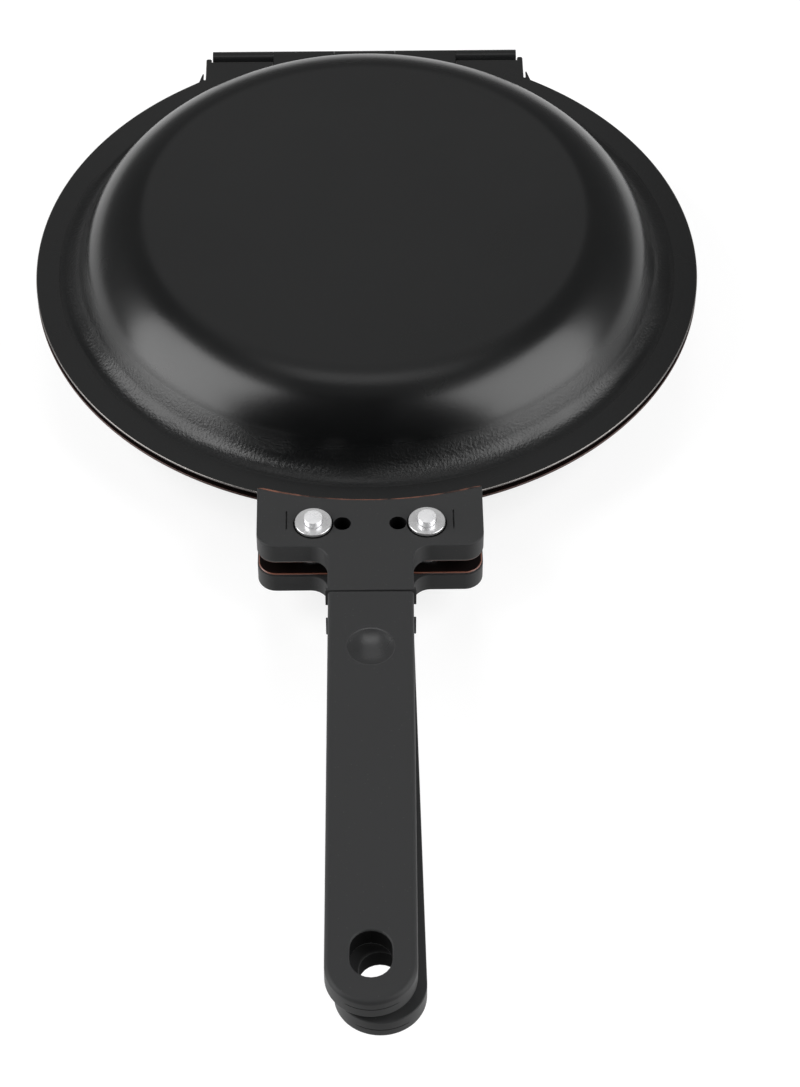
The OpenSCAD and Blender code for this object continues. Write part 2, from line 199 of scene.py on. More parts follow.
@dataclass(frozen=True)
class HandleSizes:
    """Sizes of one handle: head, rivets and grip."""

    head_w: float = 60.0
    head_t: float = 6.0
    head_from: float = 2.95
    head_front: float = 116.4
    head_arc_r: float = 99.8
    head_corner_r: float = 5.0
    neck_w: float = 22.5
    neck_len: float = 15.3
    neck_fillet_r: float = 4.75
    lip_len: float = 1.0
    lip_out: float = 0.6
    rivet_y: float = -108.4
    rivet_spacing: float = 30.0
    rivet_r: float = 2.45
    rivet_hole_r: float = 2.5
    rivet_head_r: float = 4.5
    rivet_head_t: float = 0.9
    rivet_stand: float = 1.8
    washer_r: float = 4.9
    washer_t: float = 0.9
    spare_hole_r: float = 2.2
    spare_spacing: float = 14.7
    mark_x: float = 22.1
    mark_y: float = -107.0
    mark_len: float = 6.5
    mark_w: float = 0.4
    mark_depth: float = 0.4
    seat_depth: float = 1.6
    seat_play: float = 0.2
    tang_w: float = 12.0
    root_w: float = 40.0
    root_depth: float = 12.0
    tang_corner_r: float = 2.0
    tang_reach: float = 34.0
    grip_w: float = 22.3
    grip_t: float = 6.0
    grip_len: float = 126.59
    grip_slope: float = 0.77
    upper_turn: float = -0.5
    lower_turn: float = 0.6
    joint_gap: float = 0.35
    grip_edge_r: float = 1.2
    hollow_w: float = 18.3
    hollow_depth: float = 3.8
    hollow_count: int = 3
    hollow_from: float = 38.0
    hollow_to: float = 84.25
    rib_t: float = 1.6
    end_hollow_from: float = 99.75
    end_hollow_to: float = 104.1
    hollow_corner_r: float = 1.5
    hang_w: float = 10.2
    hang_len: float = 13.2
    hang_from_end: float = 7.1
    dimple_d: float = 12.5
    dimple_depth: float = 1.2
    dimple_from_joint: float = 18.8
    groove_w: float = 11.4
    groove_h: float = 0.3
    groove_depth: float = 0.25
    magnet_from_joint: float = 92.0
    cup_seat_r: float = 4.85
    cup_seat: float = 2.2

    @property
    def joint_y(self) -> float:
        """Where head and grip meet."""
        return -self.head_front - self.neck_len

    @property
    def head_top(self) -> float:
        """Height of the head's outer face over the closing plane."""
        return self.head_from + self.head_t


PAN = PanSizes()
HANDLE = HandleSizes()


@dataclass(frozen=True)
class Placing:
    """Where drawn points go in the frame, in millimetres."""

    move: Callable[[Point3], Point3]
    mirrored: bool = False
    """Whether the move turns a shape inside out, so that its faces have to be turned over."""


def outwards(half: Half) -> Placing:
    """Places points drawn upwards from the closing plane on their half.

    Args:
        half: The half that the points belong to.

    Returns:
        The placing of that half.
    """
    return Placing(lambda p: (p[0], p[1], PAN.half_height + half.side * p[2]), half is Half.LOWER)


def on_grip(half: Half) -> Placing:
    """Places points of a grip: its origin is on the inner face at the joint.

    Args:
        half: The half that the grip belongs to.

    Returns:
        The placing of that half's grip, turned and sloped as it stands.
    """
    turn = HANDLE.lower_turn if half is Half.LOWER else HANDLE.upper_turn
    matrix = (
        Matrix.Translation((0, HANDLE.joint_y, HANDLE.head_from))
        @ Matrix.Rotation(math.radians(turn), 4, "Z")
        @ Matrix.Rotation(math.radians(HANDLE.grip_slope), 4, "X")
    )
    place = outwards(half)
    return Placing(lambda p: place.move(tuple(matrix @ Vector(p))), place.mirrored)


# ---- shells ----


def contains(loop: np.ndarray, point: np.ndarray) -> bool:
    """Whether a flat loop goes round a point.

    Args:
        loop: The loop's points.
        point: The point to look for.

    Returns:
        True where a line from the point crosses the loop an odd number of times.
    """
    a, b = loop, np.roll(loop, -1, 0)
    crosses = (a[:, 1] > point[1]) != (b[:, 1] > point[1])
    rise = np.where(crosses, b[:, 1] - a[:, 1], 1.0)
    at = a[:, 0] + (point[1] - a[:, 1]) / rise * (b[:, 0] - a[:, 0])
    return bool((crosses & (point[0] < at)).sum() % 2)


def weld(mesh: bpy.types.Mesh, same_point: float = 2e-7, no_length: float = 1e-8) -> None:
    """Merges doubled points and removes faces with no area.

    Args:
        mesh: The mesh to mend.
        same_point: Points that are closer than this, in metres, become one.
        no_length: Edges that are shorter than this, in metres, are removed.
    """
    work = bmesh.new()
    work.from_mesh(mesh)
    bmesh.ops.remove_doubles(work, verts=work.verts, dist=same_point)
    bmesh.ops.dissolve_degenerate(work, edges=work.edges, dist=no_length)
    work.to_mesh(mesh)
    work.free()


def link(name: str, data: bpy.types.ID) -> bpy.types.Object:
    """Puts a mesh, a lamp or a camera in the scene.

    Args:
        name: The object's name.
        data: What the object shows.

    Returns:
        The object.
    """
    made = bpy.data.objects.new(name, data)
    bpy.context.scene.collection.objects.link(made)
    return made


def show(name: str, mesh: bpy.types.Mesh, sharp_deg: float = 32.0) -> bpy.types.Object:
    """Shows a mesh with smooth faces, sharp edges and weighted normals.

    Args:
        name: The object's name.
        mesh: The piece's mesh.
        sharp_deg: Edges between faces that turn more than this stay sharp.

    Returns:
        The object.
    """
    mesh.shade_smooth()
    mesh.set_sharp_from_angle(angle=math.radians(sharp_deg))
    made = link(name, mesh)
    normals = made.modifiers.new("flat faces stay flat", "WEIGHTED_NORMAL")
    normals.keep_sharp = True
    normals.weight = 70
    return made


@dataclass
class Shell:
    """Points and faces of closed surfaces, in millimetres, with a finish number for each face."""

    points: list[Point3] = field(default_factory=list)
    faces: list[Face] = field(default_factory=list)
    finishes: list[int] = field(default_factory=list)

    def add_points(self, points: Sequence[Sequence[float]]) -> list[int]:
        """Adds points.

        Args:
            points: The points to add.

        Returns:
            Their numbers.
        """
        start = len(self.points)
        self.points.extend(tuple(float(c) for c in p) for p in points)
        return list(range(start, len(self.points)))

    def add_loop(self, loop: np.ndarray, z: float) -> list[int]:
        """Adds a flat loop at a height and returns its points' numbers."""
        return self.add_points([(x, y, z) for x, y in loop])

    def add_face(self, face: Face, finish: int = 0, flip: bool = False) -> None:
        """Adds one face, without the repeats that a pole gives it.

        Args:
            face: The numbers of its points.
            finish: Its finish number.
            flip: Turns the face over.
        """
        corners = tuple(dict.fromkeys(face))
        self.faces.append(corners[::-1] if flip else corners)
        self.finishes.append(finish)

    def bridge(self, upper: list[int], lower: list[int], flip: bool = False, finish: int = 0) -> None:
        """Joins two closed loops of the same count with a band of quads.

        Args:
            upper: The loop that lies higher, or the first one.
            lower: The loop that lies lower, or the second one.
            flip: Turns the band's faces over.
            finish: The finish number of the band.
        """
        count = len(upper)
        for i in range(count):
            j = (i + 1) % count
            self.add_face((upper[i], lower[i], lower[j], upper[j]), finish, flip)

    def turn(
        self, profile: Sequence[Point2], steps: int, flip: bool = False, finish: int = 0
    ) -> list[list[int]]:
        """Turns a profile about the Z axis.

        Args:
            profile: Radius and height of each ring. A ring on the axis is a pole.
            steps: Points round the axis.
            flip: Turns the faces over.
            finish: The finish number of the surface.

        Returns:
            The rings, as point numbers.
        """
        turns = np.arange(steps) * 2 * math.pi / steps
        rings: list[list[int]] = []
        for r, z in profile:
            if r < SAME_LINE:
                rings.append(self.add_points([(0, 0, z)]) * steps)
            else:
                rings.append(self.add_points([(r * math.cos(t), r * math.sin(t), z) for t in turns]))
        for a, b in zip(rings, rings[1:]):
            self.bridge(a, b, flip, finish)
        return rings

    def cap(
        self, loops: list[list[int]], flip: bool, finish: int = 0, inner: Sequence[int] = ()
    ) -> None:
        """Closes a flat area between an outer loop and the loops of its openings.

        Args:
            loops: The outer loop and then the openings, as point numbers.
            flip: Makes the area face down in place of up.
            finish: The finish number of the area.
            inner: More points that lie inside the area.
        """
        numbers = [n for loop in loops for n in loop] + list(inner)
        flat = [Vector(self.points[n][:2]) for n in numbers]
        edges = []
        start = 0
        for loop in loops:
            edges += [(start + i, start + (i + 1) % len(loop)) for i in range(len(loop))]
            start += len(loop)
        _, _, made, origin, _, _ = delaunay_2d_cdt(flat, edges, [], 1, SAME_CORNER)
        openings = [np.array([self.points[n][:2] for n in loop]) for loop in loops[1:]]
        for triangle in made:
            face = [numbers[origin[v][0]] for v in triangle]
            corners = np.array([self.points[n][:2] for n in face])
            if any(contains(opening, corners.mean(0)) for opening in openings):
                continue
            (ax, ay), (bx, by) = corners[1] - corners[0], corners[2] - corners[0]
            faces_up = ax * by - ay * bx > 0
            self.add_face(tuple(face), finish, flip=faces_up == flip)

    def to_object(
        self, name: str, place: Placing, finishes: Sequence[bpy.types.Material]
    ) -> bpy.types.Object:
        """Makes the Blender object, with its place in its mesh.

        Args:
            name: The object's name.
            place: Where the drawn points go.
            finishes: The materials, in the order of the finish numbers.

        Returns:
            The object, smooth but for its sharp edges.
        """
        mesh = bpy.data.meshes.new(name)
        points = [tuple(c * MM for c in place.move(p)) for p in self.points]
        faces = [f[::-1] if place.mirrored else f for f in self.faces]
        mesh.from_pydata(points, [], faces)
        mesh.polygons.foreach_set("material_index", self.finishes)
        for finish in finishes:
            mesh.materials.append(finish)
        weld(mesh)
        return show(name, mesh)


def turned(profile: Sequence[Point2], steps: int) -> Shell:
    """A turned piece about the Z axis.

    Args:
        profile: Radius and height, from the top's middle down the outside to the bottom's middle;
            or, where it has no point on the axis, a closed ring in the same sense.
        steps: Points round the axis.

    Returns:
        The closed surface.
    """
    shell = Shell()
    rings = shell.turn(profile, steps)
    if profile[0][0] > SAME_LINE:
        shell.bridge(rings[-1], rings[0])
    return shell


def soften(profile: Sequence[EdgePoint], steps: int = 4) -> list[Point2]:
    """Rounds the corners of a turned piece's profile.

    Args:
        profile: Radius, height and corner radius of each point.
        steps: Faces across each rounded corner.

    Returns:
        The rounded profile.
    """
    made: list[Point2] = []
    count = len(profile)
    for i, (r, z, round_r) in enumerate(profile):
        here = Vector((r, z))
        is_pole = i in (0, count - 1) and profile[0][0] < SAME_LINE
        if round_r <= 0 or is_pole:
            made.append((r, z))
            continue
        before = (Vector(profile[i - 1][:2]) - here).normalized()
        after = (Vector(profile[(i + 1) % count][:2]) - here).normalized()
        start, end = here + before * round_r, here + after * round_r
        for t in np.linspace(0, 1, steps + 1):
            bent = start * (1 - t) ** 2 + here * 2 * t * (1 - t) + end * t**2
            made.append((bent.x, bent.y))
    return made


# ---- flat loops ----


def arc(
    centre: Sequence[float], r: float, start: float, end: float, step_deg: float = 6.0
) -> list[Point2]:
    """Points of an arc, both ends included.

    Args:
        centre: The arc's middle.
        r: Its radius.
        start: Where it starts, in degrees.
        end: Where it ends, in degrees.
        step_deg: The largest angle between two points.

    Returns:
        The points in order.
    """
    steps = max(2, math.ceil(abs(end - start) / step_deg))
    turns = np.radians(np.linspace(start, end, steps + 1))
    return [(centre[0] + r * math.cos(t), centre[1] + r * math.sin(t)) for t in turns]


def circle(x: float, y: float, r: float, steps: int = 48) -> np.ndarray:
    """A clockwise round loop, as an opening has."""
    turns = -np.arange(steps) * 2 * math.pi / steps
    return np.column_stack([x + r * np.cos(turns), y + r * np.sin(turns)])


def tidy_loop(points: Sequence[Sequence[float]]) -> np.ndarray:
    """Drops repeated neighbours from a closed loop.

    Args:
        points: The loop's points, each with any values after its X and Y.

    Returns:
        The points that are left, with their values.
    """
    kept: list[np.ndarray] = []
    for p in points:
        here = np.array(p, float)
        if not kept or np.linalg.norm(here[:2] - kept[-1][:2]) > SAME_POINT:
            kept.append(here)
    if np.linalg.norm(kept[0][:2] - kept[-1][:2]) < SAME_POINT:
        kept.pop()
    return np.array(kept)


def rounded_box(x: float, y: float, w: float, length: float, r: float) -> np.ndarray:
    """A clockwise rectangle with rounded corners, as an opening has.

    Args:
        x: Where its middle is along X.
        y: Where its middle is along Y.
        w: Its width along X.
        length: Its length along Y.
        r: The radius of its corners.

    Returns:
        The loop.
    """
    dx, dy = w / 2 - r, length / 2 - r
    corners = ((1, 1, 90), (1, -1, 0), (-1, -1, -90), (-1, 1, 180))
    points: list[Point2] = []
    for right, up, start in corners:
        points += arc((x + right * dx, y + up * dy), r, start, start - 90, 15)
    return tidy_loop(points)


def inset(loop: np.ndarray, distances: np.ndarray, nearly_straight: float = 0.985) -> np.ndarray:
    """Moves each edge of a loop to its left, which is into the material.

    Args:
        loop: The loop's points: counter-clockwise outside, clockwise round an opening.
        distances: How far each edge moves, the first being from point 0 to point 1.
        nearly_straight: Cosine of the turn below which a corner is mitred.

    Returns:
        The moved loop.
    """
    along = np.roll(loop, -1, 0) - loop
    along /= np.linalg.norm(along, axis=1)[:, None]
    left = np.column_stack([-along[:, 1], along[:, 0]])
    before, before_by = np.roll(left, 1, 0), np.roll(distances, 1)
    turn = (before * left).sum(1)
    even = before + left
    same = (even.T * (before_by + distances) / 2 / (1 + turn)).T
    is_corner = turn < nearly_straight
    bottom = np.where(is_corner, 1 - turn * turn, 1)
    by_before = (before_by - turn * distances) / bottom
    by_after = (distances - turn * before_by) / bottom
    mitred = before * by_before[:, None] + left * by_after[:, None]
    return loop + np.where(is_corner[:, None], mitred, same)


def crisp_joint(loop: np.ndarray, y: float, share: float) -> np.ndarray:
    """How much of each edge of a moulding is rounded: less where it meets its neighbour.

    Args:
        loop: The moulding's outline.
        y: Where its flat end lies.
        share: How much of the flat end's edges is rounded.

    Returns:
        A share for each edge, the first being from point 0 to point 1.
    """
    at_joint = np.abs(loop[:, 1] - y) < SAME_LINE
    return np.where(at_joint & np.roll(at_joint, -1), share, 1.0)


@dataclass
class Opening:
    """A hole, pocket or dimple of a plate: a clockwise loop and how it goes in."""

    loop: np.ndarray
    side: FaceSide
    depth: float
    edge_r: float
    finish: int = 0
    is_dimple: bool = False


@dataclass
class Groove:
    """A fine groove round a plate's wall."""

    z: float
    height: float
    depth: float
    share: np.ndarray
    slope: float = 0.04

    def levels(self, outline: np.ndarray) -> list[Level]:
        """The groove's loops, from its upper lip down.

        Args:
            outline: The plate's outline.

        Returns:
            Each loop with its height.
        """
        high, low = self.z + self.height / 2, self.z - self.height / 2
        deep = inset(outline, self.depth * self.share)
        return [(outline, high), (deep, high - self.slope), (deep, low + self.slope), (outline, low)]


@dataclass
class Plate:
    """A flat piece with rounded edges, holes, pockets and dimples."""

    outline: np.ndarray
    bottom: float
    top: float
    top_r: float
    bottom_r: float
    openings: list[Opening]
    crispness: np.ndarray
    edge_steps: int = 5
    groove: Optional[Groove] = None
    dimple_rings: int = 14
    pole_share: float = 0.05

    def _edge(self, loop: np.ndarray, share: np.ndarray, r: float, z: float, down: float) -> list[Level]:
        """The loops of one rounded edge.

        Args:
            loop: The wall's loop.
            share: How much of each of the loop's edges is rounded.
            r: The edge's radius.
            z: Height of the flat face.
            down: 1 where the wall goes down from the flat face, -1 where it goes up.

        Returns:
            Each loop with its height, from the flat face to the wall.
        """
        made = []
        for t in np.radians(np.linspace(0, 90, self.edge_steps + 1)):
            away = r * (1 - math.sin(t)) * share
            made.append((inset(loop, away), z - down * r * (1 - math.cos(t))))
        return made

    def shell(self) -> Shell:
        """Builds the plate.

        Returns:
            Its closed surface.
        """
        shell = Shell()
        upper = self._edge(self.outline, self.crispness, self.top_r, self.top, 1)
        lower = self._edge(self.outline, self.crispness, self.bottom_r, self.bottom, -1)
        groove = self.groove.levels(self.outline) if self.groove else []
        rings = [shell.add_loop(loop, z) for loop, z in upper + groove + lower[::-1]]
        for a, b in zip(rings, rings[1:]):
            shell.bridge(a, b)
        tops, bottoms = [rings[0]], [rings[-1]]
        for opening in self.openings:
            if opening.is_dimple:
                tops.append(self._dimple(shell, opening))
            elif opening.side is FaceSide.THROUGH:
                top, bottom = self._hole(shell, opening)
                tops.append(top)
                bottoms.append(bottom)
            else:
                mouths = tops if opening.side is FaceSide.TOP else bottoms
                mouths.append(self._pocket(shell, opening))
        shell.cap(tops, flip=False)
        shell.cap(bottoms, flip=True)
        return shell

    def _hole(self, shell: Shell, opening: Opening) -> tuple[list[int], list[int]]:
        """Adds a hole through the plate.

        Args:
            shell: The plate's surface.
            opening: The hole.

        Returns:
            Its mouths in the top and the bottom.
        """
        even = np.ones(len(opening.loop))
        upper = self._edge(opening.loop, even, opening.edge_r, self.top, 1)
        lower = self._edge(opening.loop, even, opening.edge_r, self.bottom, -1)
        rings = [shell.add_loop(loop, z) for loop, z in upper + lower[::-1]]
        for i, (a, b) in enumerate(zip(rings, rings[1:])):
            is_wall = i == len(upper) - 1
            shell.bridge(a, b, finish=opening.finish if is_wall else 0)
        return rings[0], rings[-1]

    def _pocket(self, shell: Shell, opening: Opening) -> list[int]:
        """Adds a pocket with a flat floor.

        Args:
            shell: The plate's surface.
            opening: The pocket.

        Returns:
            Its mouth.
        """
        from_top = opening.side is FaceSide.TOP
        down = 1 if from_top else -1
        z = self.top if from_top else self.bottom
        walls = self._edge(opening.loop, np.ones(len(opening.loop)), opening.edge_r, z, down)
        walls.append((opening.loop, z - down * opening.depth))
        rings = [shell.add_loop(loop, at) for loop, at in walls]
        for a, b in zip(rings, rings[1:]):
            shell.bridge(a, b, not from_top, opening.finish)
        shell.cap([rings[-1]], not from_top, opening.finish)
        return rings[0]

    def _dimple(self, shell: Shell, opening: Opening) -> list[int]:
        """Adds a hollow cap of a ball.

        Args:
            shell: The plate's surface.
            opening: The dimple.

        Returns:
            Its mouth.
        """
        centre = opening.loop.mean(0)
        mouth_r = float(np.linalg.norm(opening.loop[0] - centre))
        depth = opening.depth
        ball_r = (mouth_r**2 + depth**2) / (2 * depth)
        rings = []
        for share in np.linspace(1, self.pole_share, self.dimple_rings):
            r = mouth_r * share
            z = self.top - depth + ball_r - math.sqrt(ball_r**2 - r**2)
            rings.append(shell.add_loop(centre + (opening.loop - centre) * share, z))
        pole = shell.add_points([(centre[0], centre[1], self.top - depth)])
        rings.append(pole * len(opening.loop))
        for a, b in zip(rings, rings[1:]):
            shell.bridge(a, b, finish=opening.finish)
        return rings[0]


# ---- node trees ----


@dataclass
class Graph:
    """A node tree under construction."""

    tree: bpy.types.NodeTree

    def feed(self, socket: bpy.types.NodeSocket, value: Value) -> None:
        """Links a node's output to an input, or writes a plain value on it.

        Args:
            socket: The input.
            value: The output to link, or the value to write.
        """
        if isinstance(value, bpy.types.NodeSocket):
            self.tree.links.new(value, socket)
        else:
            socket.default_value = value

    def node(
        self, kind: str, inputs: Optional[dict[Union[str, int], Value]] = None, **settings: object
    ) -> bpy.types.Node:
        """Adds a node.

        Args:
            kind: The node's type.
            inputs: What each of its inputs gets, by name or by number.
            **settings: The node's own settings.

        Returns:
            The node.
        """
        made = self.tree.nodes.new(kind)
        for name, setting in settings.items():
            setattr(made, name, setting)
        for key, value in (inputs or {}).items():
            self.feed(made.inputs[key], value)
        return made

    def math(self, operation: str, *values: Value, clamp: bool = False) -> bpy.types.NodeSocket:
        """Adds a Math node and returns its output."""
        inputs = dict(enumerate(values))
        return self.node("ShaderNodeMath", inputs, operation=operation, use_clamp=clamp).outputs[0]

    def noise(
        self, vector: bpy.types.NodeSocket, scale: Value, detail: float = 2.0, rough: float = 0.5
    ) -> bpy.types.NodeSocket:
        """Adds a Noise Texture and returns its value output."""
        inputs = {"Vector": vector, "Scale": scale, "Detail": detail, "Roughness": rough}
        return self.node("ShaderNodeTexNoise", inputs).outputs[0]

    def ramp(
        self,
        value: bpy.types.NodeSocket,
        low: float,
        high: float,
        to_low: Value = 0.0,
        to_high: Value = 1.0,
    ) -> bpy.types.NodeSocket:
        """Maps a range of a value smoothly to another.

        Args:
            value: The value.
            low: The start of its range.
            high: The end of its range.
            to_low: What the start becomes.
            to_high: What the end becomes.

        Returns:
            The mapped value.
        """
        inputs = {"Value": value, "From Min": low, "From Max": high, "To Min": to_low, "To Max": to_high}
        return self.node("ShaderNodeMapRange", inputs, interpolation_type="SMOOTHSTEP").outputs[0]

    def place(self) -> bpy.types.NodeSocket:
        """Adds the object's own coordinates, in metres."""
        return self.node("ShaderNodeTexCoord").outputs["Object"]


@dataclass
class EffectGraph(Graph):
    """A shader node group under construction, which several finishes share."""

    start: bpy.types.Node
    end: bpy.types.Node

    @classmethod
    def begin(cls, name: str, inputs: dict[str, float], outputs: Sequence[str]) -> "EffectGraph":
        """Makes the empty group.

        Args:
            name: The group's name.
            inputs: Its inputs and their usual values.
            outputs: Its outputs.

        Returns:
            The group with its ends.
        """
        tree = bpy.data.node_groups.new(name, "ShaderNodeTree")
        for socket_name, value in inputs.items():
            socket = tree.interface.new_socket(socket_name, in_out="INPUT", socket_type="NodeSocketFloat")
            socket.default_value = value
        for socket_name in outputs:
            tree.interface.new_socket(socket_name, in_out="OUTPUT", socket_type="NodeSocketFloat")
        return cls(tree, tree.nodes.new("NodeGroupInput"), tree.nodes.new("NodeGroupOutput"))

    def given(self, name: str) -> bpy.types.NodeSocket:
        """The value that a material gives to one of the group's inputs."""
        return self.start.outputs[name]

    def put_out(self, name: str, value: bpy.types.NodeSocket) -> None:
        """Links a value to one of the group's outputs."""
        self.feed(self.end.inputs[name], value)

    def radius_and_y(self) -> tuple[bpy.types.NodeSocket, bpy.types.NodeSocket]:
        """Adds the distance from the pan's middle, in metres, and the Y coordinate.

        Returns:
            The distance, and Y.
        """
        apart = self.node("ShaderNodeSeparateXYZ", {0: self.place()})
        squares = [self.math("MULTIPLY", apart.outputs[axis], apart.outputs[axis]) for axis in "XY"]
        return self.math("SQRT", self.math("ADD", *squares)), apart.outputs["Y"]


def build_grain() -> bpy.types.NodeTree:
    """Fine sandy grain of a sprayed coat or a moulding, with sparse light flecks.

    Returns:
        The group: Height is the grain, and Fleck masks the light grains.
    """
    graph = EffectGraph.begin("sandy_grain", {"Scale": 900.0, "Fleck share": 0.1}, ("Height", "Fleck"))
    coarse_scale, coarse_share = 0.31, 0.3
    fleck_core, fleck_edge = 0.12, 0.34
    place, scale = graph.place(), graph.given("Scale")
    coarse = graph.noise(place, graph.math("MULTIPLY", scale, coarse_scale), detail=1.0)
    coarse_part = graph.math("MULTIPLY", coarse, coarse_share)
    graph.put_out("Height", graph.math("ADD", graph.noise(place, scale), coarse_part))
    cells = graph.node("ShaderNodeTexVoronoi", {"Vector": place, "Scale": scale})
    chance = graph.node("ShaderNodeSeparateColor", {"Color": cells.outputs["Color"]})
    picked = graph.math("LESS_THAN", chance.outputs["Red"], graph.given("Fleck share"))
    near = graph.ramp(cells.outputs["Distance"], fleck_core, fleck_edge, 1.0, 0.0)
    graph.put_out("Fleck", graph.math("MULTIPLY", picked, near))
    return graph.tree


def build_handling() -> bpy.types.NodeTree:
    """Slow changes of gloss where hands, cloths and heat have been.

    Returns:
        The group: Gloss is a roughness between Low and High.
    """
    graph = EffectGraph.begin("handling_marks", {"Scale": 18.0, "Low": 0.3, "High": 0.45}, ("Gloss",))
    calm, marked = 0.3, 0.7
    slow = graph.noise(graph.place(), graph.given("Scale"), detail=3.0, rough=0.6)
    graph.put_out("Gloss", graph.ramp(slow, calm, marked, graph.given("Low"), graph.given("High")))
    return graph.tree


def build_brushing() -> bpy.types.NodeTree:
    """Fine parallel lines of rolled and brushed metal, along Y.

    Returns:
        The group: Lines is their relief.
    """
    graph = EffectGraph.begin("brushed_lines", {"Scale": 1600.0}, ("Lines",))
    along = 0.03
    stretched = graph.node("ShaderNodeMapping", {"Vector": graph.place(), "Scale": (1.0, along, 1.0)})
    lines = graph.noise(stretched.outputs["Vector"], graph.given("Scale"), detail=3.0, rough=0.7)
    graph.put_out("Lines", lines)
    return graph.tree


def build_turning() -> bpy.types.NodeTree:
    """Fine rings that a lathe or a punch leaves, from a piece's own ring attribute.

    Returns:
        The group: Rings is their broken relief.
    """
    graph = EffectGraph.begin("turning_rings", {"Pitch": 24.0, "Break": 700.0}, ("Rings",))
    ring = graph.node("ShaderNodeAttribute", attribute_name="ring_mm")
    wave = graph.math("SINE", graph.math("MULTIPLY", ring.outputs["Fac"], graph.given("Pitch")))
    broken = graph.noise(graph.place(), graph.given("Break"))
    graph.put_out("Rings", graph.math("MULTIPLY", graph.math("ADD", wave, 1.0), broken))
    return graph.tree


def build_radius_band() -> bpy.types.NodeTree:
    """A patchy ring about the pan's middle.

    Returns:
        The group: Band is full in the ring's middle and none at its edges and behind Ends at Y.
    """
    inputs = {"Inner radius": 0.0795, "Outer radius": 0.0865, "Patches": 55.0, "Ends at Y": 1.0}
    graph = EffectGraph.begin("radius_band", inputs, ("Band",))
    steepness = 5.0
    patch_edge, patch_core = 0.3, 0.65
    radius, y = graph.radius_and_y()
    inner = graph.given("Inner radius")
    width = graph.math("SUBTRACT", graph.given("Outer radius"), inner)
    across = graph.math("DIVIDE", graph.math("SUBTRACT", radius, inner), width)
    arch = graph.math("MULTIPLY", across, graph.math("SUBTRACT", 1.0, across))
    hump = graph.math("MULTIPLY", arch, steepness, clamp=True)
    hump = graph.math("MULTIPLY", hump, graph.math("LESS_THAN", y, graph.given("Ends at Y")))
    patches = graph.ramp(graph.noise(graph.place(), graph.given("Patches")), patch_edge, patch_core)
    graph.put_out("Band", graph.math("MULTIPLY", hump, patches))
    return graph.tree


def build_radius_edge() -> bpy.types.NodeTree:
    """The fine wavy border at a radius about the pan's middle, where a coat changes to its colour beyond the
    radius.

    Returns:
        The group: Within and Beyond mask what lies on each side of a radius.
    """
    inputs = {"Radius": 0.0925, "Fade": 0.0006, "Waves": 160.0}
    graph = EffectGraph.begin("radius_edge", inputs, ("Within", "Beyond"))
    radius, _ = graph.radius_and_y()
    over = graph.math("DIVIDE", graph.math("SUBTRACT", radius, graph.given("Radius")), graph.given("Fade"))
    beyond = graph.math("ADD", over, graph.noise(graph.place(), graph.given("Waves")), clamp=True)
    graph.put_out("Beyond", beyond)
    graph.put_out("Within", graph.math("SUBTRACT", 1.0, beyond))
    return graph.tree


@dataclass
class Effects:
    """The shared effects, each built once."""

    grain: bpy.types.NodeTree = field(default_factory=build_grain)
    handling: bpy.types.NodeTree = field(default_factory=build_handling)
    brushing: bpy.types.NodeTree = field(default_factory=build_brushing)
    turning: bpy.types.NodeTree = field(default_factory=build_turning)
    radius_band: bpy.types.NodeTree = field(default_factory=build_radius_band)
    radius_edge: bpy.types.NodeTree = field(default_factory=build_radius_edge)


# ---- finishes ----


IOR = 1.5
"""Index of refraction of every coat, moulding and metal."""


def rgb(red: float, green: float, blue: float) -> Colour:
    """An opaque colour."""
    return (red, green, blue, 1.0)


@dataclass
class MaterialDraft(Graph):
    """A material under construction: its tree, its shader and its effects."""

    material: bpy.types.Material
    shader: bpy.types.Node

    @classmethod
    def begin(cls, name: str, **sockets: Union[float, Colour]) -> "MaterialDraft":
        """Makes a material whose even values stand on the shader's own sockets.

        Args:
            name: The material's name.
            **sockets: The even values, with _ for a space in a socket's name.

        Returns:
            The draft.
        """
        material = bpy.data.materials.new(name)
        material.use_nodes = True
        shader = material.node_tree.nodes["Principled BSDF"]
        for socket, value in sockets.items():
            shader.inputs[socket.replace("_", " ")].default_value = value
        return cls(material.node_tree, material, shader)

    def effect(self, group: bpy.types.NodeTree, **values: float) -> bpy.types.Node:
        """Places a shared effect with this material's own values.

        Args:
            group: The effect.
            **values: The effect's inputs, with _ for a space in a name.

        Returns:
            The effect's node.
        """
        inputs = {name.replace("_", " "): value for name, value in values.items()}
        return self.node("ShaderNodeGroup", inputs, node_tree=group)

    def mix_colour(self, share: bpy.types.NodeSocket, plain: Value, other: Value) -> bpy.types.NodeSocket:
        """Mixes two colours by a mask.

        Args:
            share: The mask.
            plain: The colour where the mask is 0.
            other: The colour where the mask is 1.

        Returns:
            The mixed colour.
        """
        colour_a, colour_b, result = 6, 7, 2
        inputs = {"Factor": share, colour_a: plain, colour_b: other}
        return self.node("ShaderNodeMix", inputs, data_type="RGBA").outputs[result]

    def dress(self, **sockets: bpy.types.NodeSocket) -> None:
        """Links values that vary over the surface to the shader, with _ for a space in a name."""
        for name, value in sockets.items():
            self.feed(self.shader.inputs[name.replace("_", " ")], value)

    def bump(self, height: bpy.types.NodeSocket, strength: float, distance: float) -> None:
        """Adds relief to the shader's normal.

        Args:
            height: The relief.
            strength: How much of it shows.
            distance: How high it is, in metres.
        """
        inputs = {"Strength": strength, "Distance": distance, "Height": height}
        self.dress(Normal=self.node("ShaderNodeBump", inputs).outputs["Normal"])


@dataclass(frozen=True)
class GritFinish:
    """The sandy band round the foot of the bowl's wall, where the coat is sprayed on thick."""

    inner_radius: float = 0.0800
    outer_radius: float = 0.0885
    patches: float = 30.0
    relief: float = 14.0
    fleck_elsewhere: float = 0.35
    dulling: float = 0.16


